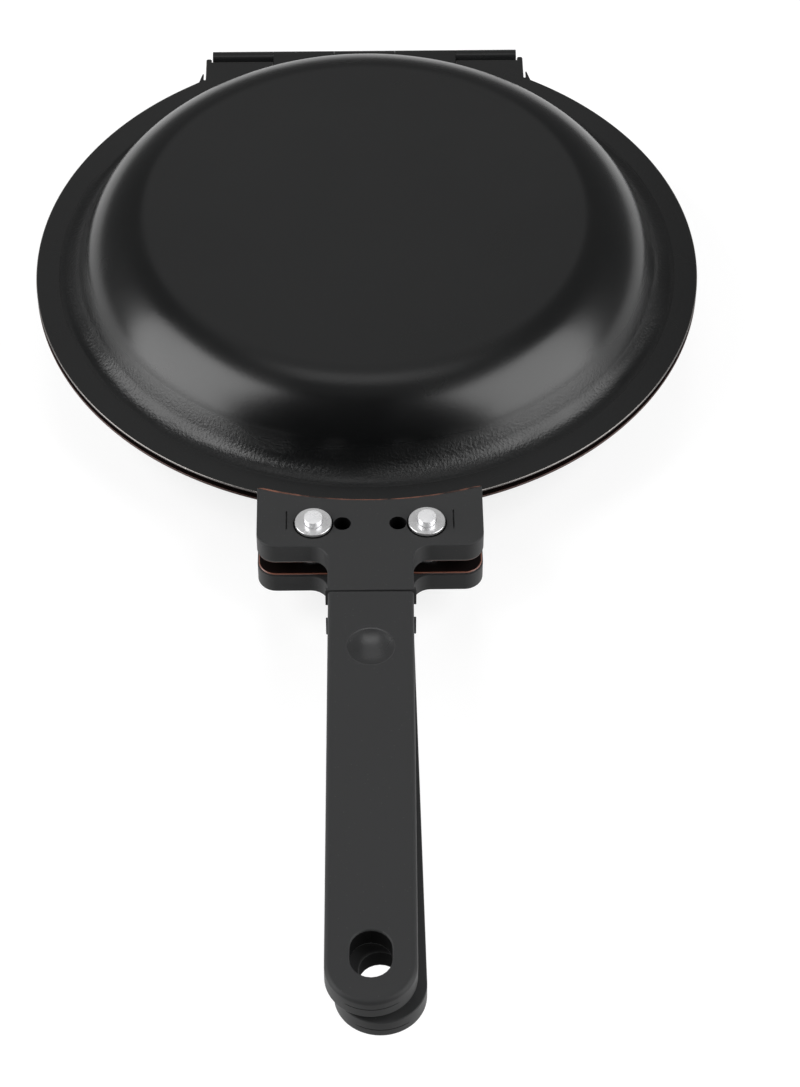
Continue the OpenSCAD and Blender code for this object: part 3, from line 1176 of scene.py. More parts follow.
@dataclass(frozen=True)
class WornHighlightLine:
    """The thin copper line where the sheet bends up to the front tab: bare worn coat, and a painted
    highlight along the bend.
    """

    colour: Colour
    inner_radius: float = 0.09295
    outer_radius: float = 0.0936
    patches: float = 200.0
    ends_at_y: float = -0.0885


@dataclass(frozen=True)
class ColourBeyondRadius:
    """Another colour beyond a radius about the pan's middle, with no metal shine: painted shade on the
    copper coat, a less darkened copper on the rim's copper edge.
    """

    colour: Colour
    radius: float = 0.0925
    fade: float = 0.0006


@dataclass(frozen=True)
class CoatFinish:
    """A sprayed non-stick coat with fine grain and flecks."""

    name: str
    colour: Colour
    fleck: Colour
    metallic: float
    gloss: tuple[float, float]
    grain_scale: float
    fleck_share: float
    relief: float
    shine: float = 0.5
    grit: Optional[GritFinish] = None
    worn_highlight: Optional[WornHighlightLine] = None
    beyond_radius: Optional[ColourBeyondRadius] = None
    marks_scale: float = 22.0
    grain_height: float = 0.00006

    def build(self, effects: Effects) -> bpy.types.Material:
        """Builds the coat's material.

        Args:
            effects: The shared effects.

        Returns:
            The material.
        """
        sockets = {"Metallic": self.metallic, "IOR": IOR, "Specular_IOR_Level": self.shine}
        draft = MaterialDraft.begin(self.name, **sockets)
        grain = draft.effect(effects.grain, Scale=self.grain_scale, Fleck_share=self.fleck_share)
        low, high = self.gloss
        marks = draft.effect(effects.handling, Scale=self.marks_scale, Low=low, High=high)
        fleck, height, gloss = grain.outputs["Fleck"], grain.outputs["Height"], marks.outputs["Gloss"]
        if self.grit is not None:
            fleck, height, gloss = self._add_grit(draft, effects, fleck, height, gloss)
        colour = draft.mix_colour(fleck, self.colour, self.fleck)
        # A thin copper line painted round the bend up to the front tab: worn coat, and a painted highlight.
        if self.worn_highlight is not None:
            line = draft.effect(
                effects.radius_band,
                Inner_radius=self.worn_highlight.inner_radius,
                Outer_radius=self.worn_highlight.outer_radius,
                Patches=self.worn_highlight.patches,
                Ends_at_Y=self.worn_highlight.ends_at_y,
            )
            colour = draft.mix_colour(line.outputs["Band"], colour, self.worn_highlight.colour)
        # Beyond the radius the colour changes and the coat stops being metallic: on the copper coat this
        # paints the sheet nearly black, painted shade in the gaps between the closed halves.
        if self.beyond_radius is not None:
            edge = draft.effect(effects.radius_edge, Radius=self.beyond_radius.radius, Fade=self.beyond_radius.fade)
            colour = draft.mix_colour(edge.outputs["Beyond"], colour, self.beyond_radius.colour)
            draft.dress(Metallic=draft.math("MULTIPLY", edge.outputs["Within"], self.metallic))
        draft.dress(Base_Color=colour, Roughness=gloss)
        draft.bump(height, self.relief, self.grain_height)
        return draft.material

    def _add_grit(
        self,
        draft: MaterialDraft,
        effects: Effects,
        fleck: bpy.types.NodeSocket,
        height: bpy.types.NodeSocket,
        gloss: bpy.types.NodeSocket,
    ) -> tuple[bpy.types.NodeSocket, bpy.types.NodeSocket, bpy.types.NodeSocket]:
        """Makes the coat coarse and dull in the grit's band, and its flecks fainter elsewhere.

        Args:
            draft: The coat's material.
            effects: The shared effects.
            fleck: The mask of the flecks.
            height: The grain's relief.
            gloss: The coat's roughness.

        Returns:
            The three values with the grit.
        """
        grit = self.grit
        foot = draft.effect(
            effects.radius_band,
            Inner_radius=grit.inner_radius,
            Outer_radius=grit.outer_radius,
            Patches=grit.patches,
            Ends_at_Y=1.0,
        )
        band = foot.outputs["Band"]
        sand = draft.math("MULTIPLY", draft.math("MULTIPLY", band, height), grit.relief)
        shown = draft.math("ADD", band, grit.fleck_elsewhere)
        return (
            draft.math("MULTIPLY", fleck, shown, clamp=True),
            draft.math("ADD", height, sand),
            draft.math("ADD", gloss, draft.math("MULTIPLY", band, grit.dulling)),
        )


@dataclass(frozen=True)
class MouldingFinish:
    """A matt moulded plastic with a fine even grain."""

    name: str
    colour: Colour
    pale: Colour
    gloss: tuple[float, float]
    shine: float
    relief: float = 0.25
    grain_scale: float = 1500.0
    fleck_share: float = 0.06
    marks_scale: float = 30.0
    grain_height: float = 0.00004

    def build(self, effects: Effects) -> bpy.types.Material:
        """Builds the moulding's material.

        Args:
            effects: The shared effects.

        Returns:
            The material.
        """
        draft = MaterialDraft.begin(self.name, Metallic=0.0, IOR=IOR, Specular_IOR_Level=self.shine)
        grain = draft.effect(effects.grain, Scale=self.grain_scale, Fleck_share=self.fleck_share)
        low, high = self.gloss
        marks = draft.effect(effects.handling, Scale=self.marks_scale, Low=low, High=high)
        colour = draft.mix_colour(grain.outputs["Fleck"], self.colour, self.pale)
        draft.dress(Base_Color=colour, Roughness=marks.outputs["Gloss"])
        draft.bump(grain.outputs["Height"], self.relief, self.grain_height)
        return draft.material


class Marking(Enum):
    """How a bare metal piece was worked."""

    BRUSHED = "Lines"
    TURNED = "Rings"


@dataclass(frozen=True)
class MetalFinish:
    """Bare or plated metal with the marks of its making."""

    name: str
    colour: Colour
    dull: Colour
    gloss: tuple[float, float]
    marking: Marking
    relief: float
    metallic: float = 1.0
    marks_scale: float = 160.0
    marks_height: float = 0.00003
    dull_from: float = 0.35
    dull_to: float = 0.75

    def build(self, effects: Effects) -> bpy.types.Material:
        """Builds the metal's material.

        Args:
            effects: The shared effects.

        Returns:
            The material.
        """
        draft = MaterialDraft.begin(self.name, Metallic=self.metallic, IOR=IOR)
        group = effects.brushing if self.marking is Marking.BRUSHED else effects.turning
        lines = draft.effect(group).outputs[self.marking.value]
        low, high = self.gloss
        marks = draft.effect(effects.handling, Scale=self.marks_scale, Low=low, High=high)
        colour = draft.mix_colour(draft.ramp(lines, self.dull_from, self.dull_to), self.colour, self.dull)
        draft.dress(Base_Color=colour, Roughness=marks.outputs["Gloss"])
        draft.bump(lines, self.relief, self.marks_height)
        return draft.material


BLACK_COAT = CoatFinish(
    "satin_black_coat",
    rgb(0.0028, 0.0030, 0.0031),
    rgb(0.013, 0.013, 0.0135),
    metallic=0.0,
    gloss=(0.22, 0.28),
    grain_scale=1300,
    fleck_share=0.09,
    relief=0.22,
    shine=0.42,
    grit=GritFinish(),
    # The copper line at the bend to the front tab is worn coat plus a painted highlight.
    worn_highlight=WornHighlightLine(rgb(0.17, 0.070, 0.046)),
)
COPPER_COAT = CoatFinish(
    "copper_nonstick_coat",
    rgb(0.42, 0.150, 0.070),
    rgb(0.62, 0.27, 0.14),
    metallic=0.92,
    gloss=(0.31, 0.40),
    grain_scale=800,
    fleck_share=0.16,
    relief=0.2,
    shine=0.3,
    # Beyond 92.5 mm the copper is painted nearly black: painted shade in the gaps between the rims, tabs and
    # hinge rolls.
    beyond_radius=ColourBeyondRadius(rgb(0.004, 0.0022, 0.002)),
)
# The rim's rounded inner edge in copper darkened nearly to black: painted shade in the gap between the rims.
# Beyond 96.8 mm, on the front tab, the copper is less darkened, so the tab's edge shows as a thin copper
# line.
RIM_COPPER_SHADED = CoatFinish(
    "rim_copper_painted_shade",
    rgb(0.030, 0.011, 0.008),
    rgb(0.07, 0.026, 0.018),
    metallic=0.5,
    gloss=(0.3, 0.4),
    grain_scale=1200,
    fleck_share=0.2,
    relief=0.15,
    beyond_radius=ColourBeyondRadius(rgb(0.15, 0.054, 0.034), radius=0.0968),
)
# The rim's rounded outer edge in a pale metal grey: worn coat, with a painted highlight for the thin bright
# line along the rim's edge.
WORN_EDGE_PAINTED_HIGHLIGHT = CoatFinish(
    "worn_rim_edge_painted_highlight",
    rgb(0.15, 0.142, 0.136),
    rgb(0.30, 0.285, 0.27),
    metallic=0.9,
    gloss=(0.28, 0.38),
    grain_scale=1200,
    fleck_share=0.3,
    relief=0.15,
)

HEAD_MOULDING = MouldingFinish(
    "head_moulding", rgb(0.0285, 0.0288, 0.0292), rgb(0.042, 0.042, 0.042), (0.42, 0.52), 0.12
)
GRIP_MOULDING = MouldingFinish(
    "grip_moulding", rgb(0.0270, 0.0273, 0.0278), rgb(0.040, 0.040, 0.040), (0.42, 0.52), 0.14
)
# Near-black moulding for the walls of holes and the seats round the washers: painted shade and painted
# shadow, where the inside of a hole or the ring round a washer lies in shade.
PAINTED_SHADE_MOULDING = MouldingFinish(
    "moulding_painted_shade", rgb(0.0020, 0.0020, 0.0021), rgb(0.004, 0.004, 0.004), (0.7, 0.85), 0.05
)
DIMPLE_MOULDING = MouldingFinish(
    "dimple_moulding", rgb(0.0150, 0.0153, 0.0158), rgb(0.026, 0.026, 0.026), (0.22, 0.30), 0.8
)

RIVET_ALUMINIUM = MetalFinish(
    "rivet_aluminium", rgb(0.90, 0.90, 0.91), rgb(0.74, 0.74, 0.75), (0.24, 0.36), Marking.TURNED, 0.15, 0.58
)
# The rivets' flat inner heads in a darker grey than the rivets' aluminium: painted shade for the gap between
# the halves.
RIVET_INNER_HEAD_SHADED = MetalFinish(
    "rivet_inner_head_painted_shade", rgb(0.42, 0.42, 0.42), rgb(0.34, 0.34, 0.345), (0.26, 0.38), Marking.TURNED, 0.1
)
WASHER_PLATING = MetalFinish(
    "washer_plating", rgb(0.74, 0.74, 0.74), rgb(0.60, 0.60, 0.61), (0.22, 0.34), Marking.TURNED, 0.12, 0.85
)
TANG_STEEL = MetalFinish(
    "tang_sheet_steel", rgb(0.50, 0.51, 0.52), rgb(0.38, 0.385, 0.39), (0.3, 0.45), Marking.BRUSHED, 0.3
)
SCREW_PLATING = MetalFinish(
    "screw_plating", rgb(0.66, 0.66, 0.67), rgb(0.5, 0.5, 0.51), (0.22, 0.35), Marking.BRUSHED, 0.2
)
INSERT_BRASS = MetalFinish(
    "insert_brass", rgb(0.72, 0.50, 0.20), rgb(0.55, 0.38, 0.15), (0.25, 0.4), Marking.BRUSHED, 0.2
)
CUP_PLATING = MetalFinish(
    "cup_plating", rgb(0.62, 0.62, 0.60), rgb(0.46, 0.46, 0.45), (0.24, 0.38), Marking.BRUSHED, 0.2
)
MAGNET_PLATING = MetalFinish(
    "magnet_plating", rgb(0.42, 0.42, 0.43), rgb(0.30, 0.30, 0.31), (0.3, 0.45), Marking.BRUSHED, 0.25
)
PIN_STEEL = MetalFinish(
    "pin_steel", rgb(0.60, 0.60, 0.61), rgb(0.46, 0.46, 0.47), (0.25, 0.4), Marking.BRUSHED, 0.2
)


@dataclass
class Finishes:
    """Every material of the pan, each built once."""

    effects: Effects = field(default_factory=Effects)
    made: dict[str, bpy.types.Material] = field(default_factory=dict)

    def of(self, *plans: Union[CoatFinish, MouldingFinish, MetalFinish]) -> list[bpy.types.Material]:
        """The materials of some finishes, built where they are new.

        Args:
            *plans: The finishes.

        Returns:
            Their materials, in the same order.
        """
        for plan in plans:
            if plan.name not in self.made:
                self.made[plan.name] = plan.build(self.effects)
        return [self.made[plan.name] for plan in plans]


# ---- rows of small pieces ----


@dataclass
class PieceRow:
    """A straight row of one small piece, laid out by a geometry tree.

    Faces with finish number 1 get the inner finish, and all others the plain one.
    """

    name: str
    count: int
    start: Point3
    step: Point3
    finish: bpy.types.Material
    inner_finish: bpy.types.Material

    _tree: ClassVar[Optional[bpy.types.NodeTree]] = None

    @classmethod
    def tree(cls) -> bpy.types.NodeTree:
        """The tree that lays out a row.

        Returns:
            The tree, built when it is first asked for.
        """
        if cls._tree is None:
            cls._tree = cls._build_tree()
        return cls._tree

    @staticmethod
    def _build_tree() -> bpy.types.NodeTree:
        """Builds the tree: a line of points, a piece on each, and the two finishes.

        Returns:
            The tree.
        """
        tree = bpy.data.node_groups.new("piece_row", "GeometryNodeTree")
        sockets = {
            "Piece": "NodeSocketObject",
            "Count": "NodeSocketInt",
            "Start": "NodeSocketVector",
            "Step": "NodeSocketVector",
            "Finish": "NodeSocketMaterial",
            "Inner finish": "NodeSocketMaterial",
        }
        for name, kind in sockets.items():
            tree.interface.new_socket(name, in_out="INPUT", socket_type=kind)
        tree.interface.new_socket("Geometry", in_out="OUTPUT", socket_type="NodeSocketGeometry")
        graph = Graph(tree)
        given = graph.node("NodeGroupInput").outputs
        places = {"Count": given["Count"], "Start Location": given["Start"], "Offset": given["Step"]}
        line = graph.node("GeometryNodeMeshLine", places, mode="OFFSET")
        piece = graph.node("GeometryNodeObjectInfo", {"Object": given["Piece"], "As Instance": True})
        laid = graph.node(
            "GeometryNodeInstanceOnPoints",
            {"Points": line.outputs[0], "Instance": piece.outputs["Geometry"]},
        )
        real = graph.node("GeometryNodeRealizeInstances", {0: laid.outputs[0]})
        dressed = graph.node(
            "GeometryNodeSetMaterial", {"Geometry": real.outputs[0], "Material": given["Finish"]}
        )
        inner = graph.node("GeometryNodeInputNamedAttribute", {"Name": "inner_side"}, data_type="BOOLEAN")
        lined = graph.node(
            "GeometryNodeSetMaterial",
            {
                "Geometry": dressed.outputs[0],
                "Selection": inner.outputs["Attribute"],
                "Material": given["Inner finish"],
            },
        )
        graph.node("NodeGroupOutput", {"Geometry": lined.outputs[0]})
        return tree

    def build(self, shell: Shell, mirrored: bool) -> bpy.types.Object:
        """Lays out the row and turns it into a plain mesh.

        Args:
            shell: One piece, in millimetres about its own origin.
            mirrored: Whether the piece's heights are turned over.

        Returns:
            The row's object, with its place in its mesh.
        """
        side = -1.0 if mirrored else 1.0
        place = Placing(lambda p: (p[0], p[1], side * p[2]), mirrored)
        source = shell.to_object(self.name + "_source", place, ())
        mesh = source.data
        inner = mesh.attributes.new("inner_side", "BOOLEAN", "FACE")
        inner.data.foreach_set("value", [p.material_index == 1 for p in mesh.polygons])
        ring = mesh.attributes.new("ring_mm", "FLOAT", "POINT")
        ring.data.foreach_set("value", [math.hypot(v.co.x, v.co.y) / MM for v in mesh.vertices])
        holder = link(self.name + "_holder", bpy.data.meshes.new("holder"))
        modifier = holder.modifiers.new("row", "NODES")
        modifier.node_group = self.tree()
        values = {
            "Piece": source,
            "Count": self.count,
            "Start": [c * MM for c in self.start],
            "Step": [c * MM for c in self.step],
            "Finish": self.finish,
            "Inner finish": self.inner_finish,
        }
        for item in modifier.node_group.interface.items_tree:
            if item.in_out == "INPUT":
                modifier[item.identifier] = values[item.name]
        graph = bpy.context.evaluated_depsgraph_get()
        made = bpy.data.meshes.new_from_object(holder.evaluated_get(graph), depsgraph=graph)
        made.name = self.name
        for spare in (holder, source):
            bpy.data.objects.remove(spare)
        return show(self.name, made)


# ---- pieces ----


def attach(piece: bpy.types.Object, half: Half, slot: str, *nodes: str) -> None:
    """Rides a finished piece on its body in the place of its CAD nodes.

    Args:
        piece: The finished piece.
        half: The half that it moves with.
        slot: A material slot's name; not used.
        *nodes: The CAD nodes that it stands for.
    """
    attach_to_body(piece, half.body)
    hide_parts(*nodes)
    log.info("%s: %d faces, rides on %s", piece.name, len(piece.data.polygons), half.body)


@dataclass
class Pan:
    """One pressed pan: bowl, flat rim, front tab, rear tab and hinge rolls."""

    half: Half
    finishes: Finishes
    sizes: PanSizes = PAN
    turn_steps: int = 240
    base_rings: tuple[float, ...] = (0.0, 6.0, 20.0, 36.0, 50.0)
    corner_steps: int = 20
    foot_steps: int = 14
    roll_steps: int = 64
    rim_step_deg: float = 1.2
    tab_front_points: int = 24
    edge_levels: int = 4
    step_rows: int = 9
    step_columns: int = 40
    step_margin: float = 1.5
    spike_rounding: float = 0.45
    outside: ClassVar[int] = 0
    inside: ClassVar[int] = 1
    edge: ClassVar[int] = 2
    low_edge: ClassVar[int] = 3

    def _surface(self, depth: float) -> list[Point2]:
        """The bowl's surface set in by a depth.

        Args:
            depth: How far it lies under the outer face.

        Returns:
            Radius and height, from the middle out.
        """
        s = self.sizes
        slope = math.radians(s.wall_deg)
        top = s.half_height - depth
        points = [(r, top) for r in self.base_rings]
        corner_z = s.half_height - s.corner_r
        r = s.corner_r - depth
        for t in np.linspace(0, slope, self.corner_steps):
            points.append((s.base_r + r * math.sin(t), corner_z + r * math.cos(t)))
        foot_z = s.rim_out + s.foot_r
        r = s.foot_r + depth
        for t in np.linspace(slope, 0, self.foot_steps):
            points.append((s.foot_at - r * math.sin(t), foot_z - r * math.cos(t)))
        return points

    def _rear_edge(self) -> list[EdgePoint]:
        """The rear tab's outline from right to left.

        Returns:
            X, Y and how much of the edge from each point is rounded.
        """
        s = self.sizes
        half_w = s.shoulder_x
        back, leaf = s.leaf_y + s.ear_reach, s.leaf_y + s.leaf_lap
        inner = half_w - s.ear_w
        ear = arc((half_w - s.ear_r, back - s.ear_r), s.ear_r, 0, 90, 15)
        ear += arc((inner + s.ear_r, back - s.ear_r), s.ear_r, 90, 180, 15)
        ear.append((inner, leaf))
        points: list[EdgePoint] = [(x, y, 1) for x, y in ear]
        starts = [s.roll_x(i) for i in s.own_rolls(self.half)]
        for start in reversed(starts):
            low, high = start - s.roll_gap / 2, start + s.roll_w + s.roll_gap / 2
            points += [(high, leaf, 1), (high, s.bend_y, 0), (low, s.bend_y, 1), (low, leaf, 1)]
        points += [(-x, y, 1) for x, y in reversed(ear)]
        return points

    def _spike(self, side: float, tries: int = 400) -> list[EdgePoint]:
        """The slit and the small corner outside it, from the rim up to the rear tab.

        Args:
            side: 1 for the right one, -1 for the left one.
            tries: Steps along the corner's slope in the search for the rim.

        Returns:
            X, Y and how much of the edge from each point is rounded.
        """
        s = self.sizes
        half_w = s.shoulder_x
        slit_y = math.sqrt(s.rim_r**2 - half_w**2)
        low = slit_y - s.slit_deep
        root_y = low - s.spike_below
        tip_y = slit_y + s.spike_h
        lean = (s.spike_root - s.spike_tip) / (tip_y - root_y)
        for y in np.linspace(root_y, tip_y, tries):
            x = half_w + s.slit_w + s.spike_root - lean * (y - root_y)
            if math.hypot(x, y) >= s.rim_r:
                break
        thin = self.spike_rounding
        points = [
            (side * x, y, thin),
            (side * (half_w + s.slit_w + s.spike_tip), tip_y, thin),
            (side * (half_w + s.slit_w), tip_y, thin),
        ]
        middle = (half_w + s.slit_w / 2, low + s.slit_w / 2)
        points += [(side * a, b, thin) for a, b in arc(middle, s.slit_w / 2, 0, -180, 30)]
        return points

    def _outline(self) -> tuple[np.ndarray, np.ndarray]:
        """The rim's outline with its tabs.

        Returns:
            The loop, and how much of each of its edges is rounded.
        """
        s = self.sizes
        w, end, r = s.tab_half_w, -s.tab_end, s.tab_corner_r
        side_ys = self._step_ys()
        points = [(x, y, 1) for x, y in arc((-w + r, end + r), r, 180, 270, 10)]
        points += [(x, end, 1) for x in np.linspace(-w + r, w - r, self.tab_front_points)[1:-1]]
        points += [(x, y, 1) for x, y in arc((w - r, end + r), r, 270, 360, 10)]
        points += [(w, y, 1) for y in side_ys]
        right_spike = self._spike(1)
        start = math.degrees(math.asin(-math.sqrt(s.rim_r**2 - w**2) / s.rim_r))
        stop = math.degrees(math.atan2(right_spike[0][1], right_spike[0][0]))
        rim = arc((0, 0), s.rim_r, start, stop, self.rim_step_deg)
        points += [(x, y, 1) for x, y in rim[:-1]]
        points += right_spike
        points += self._rear_edge()
        points += self._spike(-1)[::-1]
        points += [(-x, y, 1) for x, y in rim[::-1][1:]]
        points += [(-w, y, 1) for y in side_ys[::-1]]
        loop = tidy_loop(points)
        return loop[:, :2], loop[:, 2]

    def _step_ys(self) -> list[float]:
        """Places along Y across the step of the front tab, from its far end to the rim."""
        s = self.sizes
        return list(np.linspace(-s.rim_r - s.step_to, -s.rim_r - s.step_from, self.step_rows))

    def _step_height(self, y: float) -> float:
        """The shape of the front tab's step.

        Args:
            y: A place along Y.

        Returns:
            How far the tab is stepped out there.
        """
        s = self.sizes
        share = min(1.0, max(0.0, (-y - s.rim_r - s.step_from) / (s.step_to - s.step_from)))
        return s.tab_step * (0.5 - 0.5 * math.cos(math.pi * share))

    def shell(self) -> Shell:
        """Builds the pan's sheet without its hinge rolls.

        Returns:
            Its closed surface.
        """
        s = self.sizes
        shell = Shell()
        outer = shell.turn(self._surface(0.0), self.turn_steps, False, self.outside)
        inner = shell.turn(self._surface(s.sheet), self.turn_steps, True, self.inside)
        loop, rounded = self._outline()
        top, low = [], []
        for t in np.radians(np.linspace(0, 90, self.edge_levels)):
            away = inset(loop, s.edge_r * (1 - math.sin(t)) * rounded)
            drop = s.edge_r * (1 - math.cos(t))
            top.append(shell.add_loop(away, s.rim_out - drop))
            low.append(shell.add_loop(away, s.rim_in + drop))
        rings = top + low[::-1]
        bands = [self.edge] * (len(top) - 1) + [self.outside] + [self.low_edge] * (len(low) - 1)
        for a, b, finish in zip(rings, rings[1:], bands):
            shell.bridge(a, b, finish=finish)
        step_half_w = s.tab_half_w - self.step_margin
        xs = np.linspace(-step_half_w, step_half_w, self.step_columns)
        step = [(x, y) for y in self._step_ys() for x in xs]
        step_out, step_in = (shell.add_loop(step, z) for z in (s.rim_out, s.rim_in))
        shell.cap([rings[0], outer[-1][::-1]], False, self.outside, step_out)
        shell.cap([rings[-1], inner[-1][::-1]], True, self.inside, step_in)
        shell.points = [
            (x, y, z + self._step_height(y)) if y < -s.rim_r else (x, y, z) for x, y, z in shell.points
        ]
        return shell

    def roll_shell(self) -> Shell:
        """Builds one hinge roll with its rising tongue, starting at X = 0.

        Returns:
            Its closed surface.
        """
        s = self.sizes
        reach = math.hypot(s.axis_y - s.bend_y, s.rim_out)
        rise = math.asin(s.roll_r / reach) - math.atan2(s.rim_out, s.axis_y - s.bend_y)
        turn = math.pi / 2 + rise
        outer, inner = [(s.bend_y, s.rim_out)], [(s.bend_y, s.rim_in)]
        for angle in np.linspace(turn, turn - math.radians(s.roll_wrap_deg), self.roll_steps):
            c, d = math.cos(angle), math.sin(angle)
            outer.append((s.axis_y + s.roll_r * c, s.roll_r * d))
            inner.append((s.axis_y + s.bore_r * c, s.bore_r * d))
        out, inn = np.array(outer), np.array(inner)
        across = inn - out
        across /= np.linalg.norm(across, axis=1)[:, None]
        shell = Shell()
        slices = []
        bevel = s.roll_chamfer
        for x, away in ((0.0, bevel), (bevel, 0.0), (s.roll_w - bevel, 0.0), (s.roll_w, bevel)):
            a, b = out + across * away, inn - across * away
            slices.append([shell.add_points([(x, y, z) for y, z in edge]) for edge in (a, b)])
        last = len(out) - 1
        for (oa, ia), (ob, ib) in zip(slices, slices[1:]):
            for i in range(last):
                shell.add_face((oa[i], ob[i], ob[i + 1], oa[i + 1]), self.outside)
                shell.add_face((ia[i], ia[i + 1], ib[i + 1], ib[i]), self.inside)
            shell.add_face((oa[last], ob[last], ib[last], ia[last]), self.inside)
            shell.add_face((oa[0], ia[0], ib[0], ob[0]), self.inside)
        for (o, n), flip in ((slices[0], False), (slices[-1], True)):
            for i in range(last):
                shell.add_face((o[i], o[i + 1], n[i + 1], n[i]), self.inside, flip)
        return shell

    def build(self) -> None:
        """Builds the pan and its row of hinge rolls."""
        s, half = self.sizes, self.half
        node = f"{half.value}_pan"
        black, copper, edge, low_edge = self.finishes.of(BLACK_COAT, COPPER_COAT, WORN_EDGE_PAINTED_HIGHLIGHT, RIM_COPPER_SHADED)
        sheet = self.shell().to_object(f"{node}_sheet", outwards(half), (black, copper, edge, low_edge))
        attach(sheet, half, "pan_sheet", node)
        own = s.own_rolls(half)
        start = (s.roll_x(own[0]), 0, s.half_height)
        step = (own.step * (s.roll_w + s.roll_gap), 0, 0)
        row = PieceRow(f"{half.value}_hinge_rolls", len(own), start, step, black, copper)
        attach(row.build(self.roll_shell(), half is Half.LOWER), half, "pan_sheet", node)


@dataclass
class HingePin:
    """The long pin through the hinge rolls."""

    finishes: Finishes
    r: float = 1.8
    length: float = 92.3
    chamfer: float = 0.3

    def build(self) -> None:
        """Builds the pin along X, with chamfered ends."""
        end = self.length / 2
        profile = [(0, end, 0), (self.r, end, self.chamfer), (self.r, -end, self.chamfer), (0, -end, 0)]
        shell = turned(soften(profile, steps=2), steps=48)
        place = Placing(lambda p: (p[2], p[0] + PAN.axis_y, p[1] + PAN.half_height))
        pin = shell.to_object("hinge_pin_turned", place, self.finishes.of(PIN_STEEL))
        attach(pin, Half.LOWER, "hinge_pin", "hinge_pin")


@dataclass
class HandleHead:
    """The T-shaped moulded head of one handle."""

    half: Half
    finishes: Finishes
    sizes: HandleSizes = HANDLE
    edge_r: float = 0.45
    low_edge_r: float = 0.25
    joint_crispness: float = 0.3
    washer_play: float = 0.38
    washer_seat: float = 0.25
    tang_seat_edge: float = 0.1
    hole_edge: float = 0.08
    fine_edge: float = 0.04
    mark_corner_r: float = 0.15
    hole_floor: float = 0.02
    stem_stop: float = 0.6

    def _outline(self) -> np.ndarray:
        """The head's outline.

        Returns:
            The loop.
        """
        s = self.sizes
        front, joint, half_w, r = -s.head_front, s.joint_y, s.head_w / 2, s.head_corner_r
        neck, fillet = s.neck_w / 2, s.neck_fillet_r
        lip = neck + s.lip_out
        right = [(lip, joint), (lip, joint + s.lip_len), (neck, joint + s.lip_len)]
        right += arc((neck + fillet, front - fillet), fillet, 180, 90, 9)
        right += arc((half_w - r, front + r), r, -90, 0, 9)
        turn = math.degrees(math.asin(half_w / s.head_arc_r))
        far = arc((0, 0), s.head_arc_r, -90 + turn, -90 - turn, 1.0)
        left = [(-x, y) for x, y in right[::-1]]
        return tidy_loop(right + far + left)

    def _tang_seat(self) -> np.ndarray:
        """The seat of the tang's root and stem in the head's inner face.

        Returns:
            The loop.
        """
        s = self.sizes
        w, d, r = s.root_w / 2 + s.seat_play, s.root_depth / 2 + s.seat_play, s.tang_corner_r
        stem = s.tang_w / 2 + s.seat_play
        y, stem_end = s.rivet_y, s.joint_y + self.stem_stop
        points = arc((w - r, y + d - r), r, 90, 0, 15) + arc((w - r, y - d + r), r, 0, -90, 15)
        points += [(stem, y - d), (stem, stem_end), (-stem, stem_end), (-stem, y - d)]
        points += arc((-w + r, y - d + r), r, -90, -180, 15) + arc((-w + r, y + d - r), r, 180, 90, 15)
        return tidy_loop(points)

    def _openings(self) -> list[Opening]:
        """The tang's seat, the spare holes, the washers' seats and the marks; the spare holes and the
        washers' seats get finish 1, near-black painted shade.

        Returns:
            The openings.
        """
        s = self.sizes
        hole_depth = s.head_t - s.seat_depth - self.hole_floor
        made = [Opening(self._tang_seat(), FaceSide.BOTTOM, s.seat_depth, self.tang_seat_edge)]
        for side in (-1, 1):
            hole = circle(side * s.spare_spacing / 2, s.rivet_y, s.spare_hole_r)
            seat = circle(side * s.rivet_spacing / 2, s.rivet_y, s.washer_r + self.washer_play)
            mark = rounded_box(side * s.mark_x, s.mark_y, s.mark_w, s.mark_len, self.mark_corner_r)
            # Finish 1 paints the spare holes and the thin seat ring round each washer near-black: painted
            # shade and painted shadow.
            made.append(Opening(hole, FaceSide.TOP, hole_depth, self.hole_edge, finish=1))
            made.append(Opening(seat, FaceSide.TOP, self.washer_seat, self.fine_edge, finish=1))
            made.append(Opening(mark, FaceSide.TOP, s.mark_depth, self.fine_edge))
        return made

    def build(self) -> None:
        """Builds the head."""
        s, half = self.sizes, self.half
        loop = self._outline()
        crisp = crisp_joint(loop, s.joint_y, self.joint_crispness)
        openings = self._openings()
        plate = Plate(loop, s.head_from, s.head_top, self.edge_r, self.low_edge_r, openings, crisp)
        name = f"{half.value}_handle_head"
        finishes = self.finishes.of(HEAD_MOULDING, PAINTED_SHADE_MOULDING)
        head = plate.shell().to_object(f"{name}_moulding", outwards(half), finishes)
        attach(head, half, "handle_head", name)


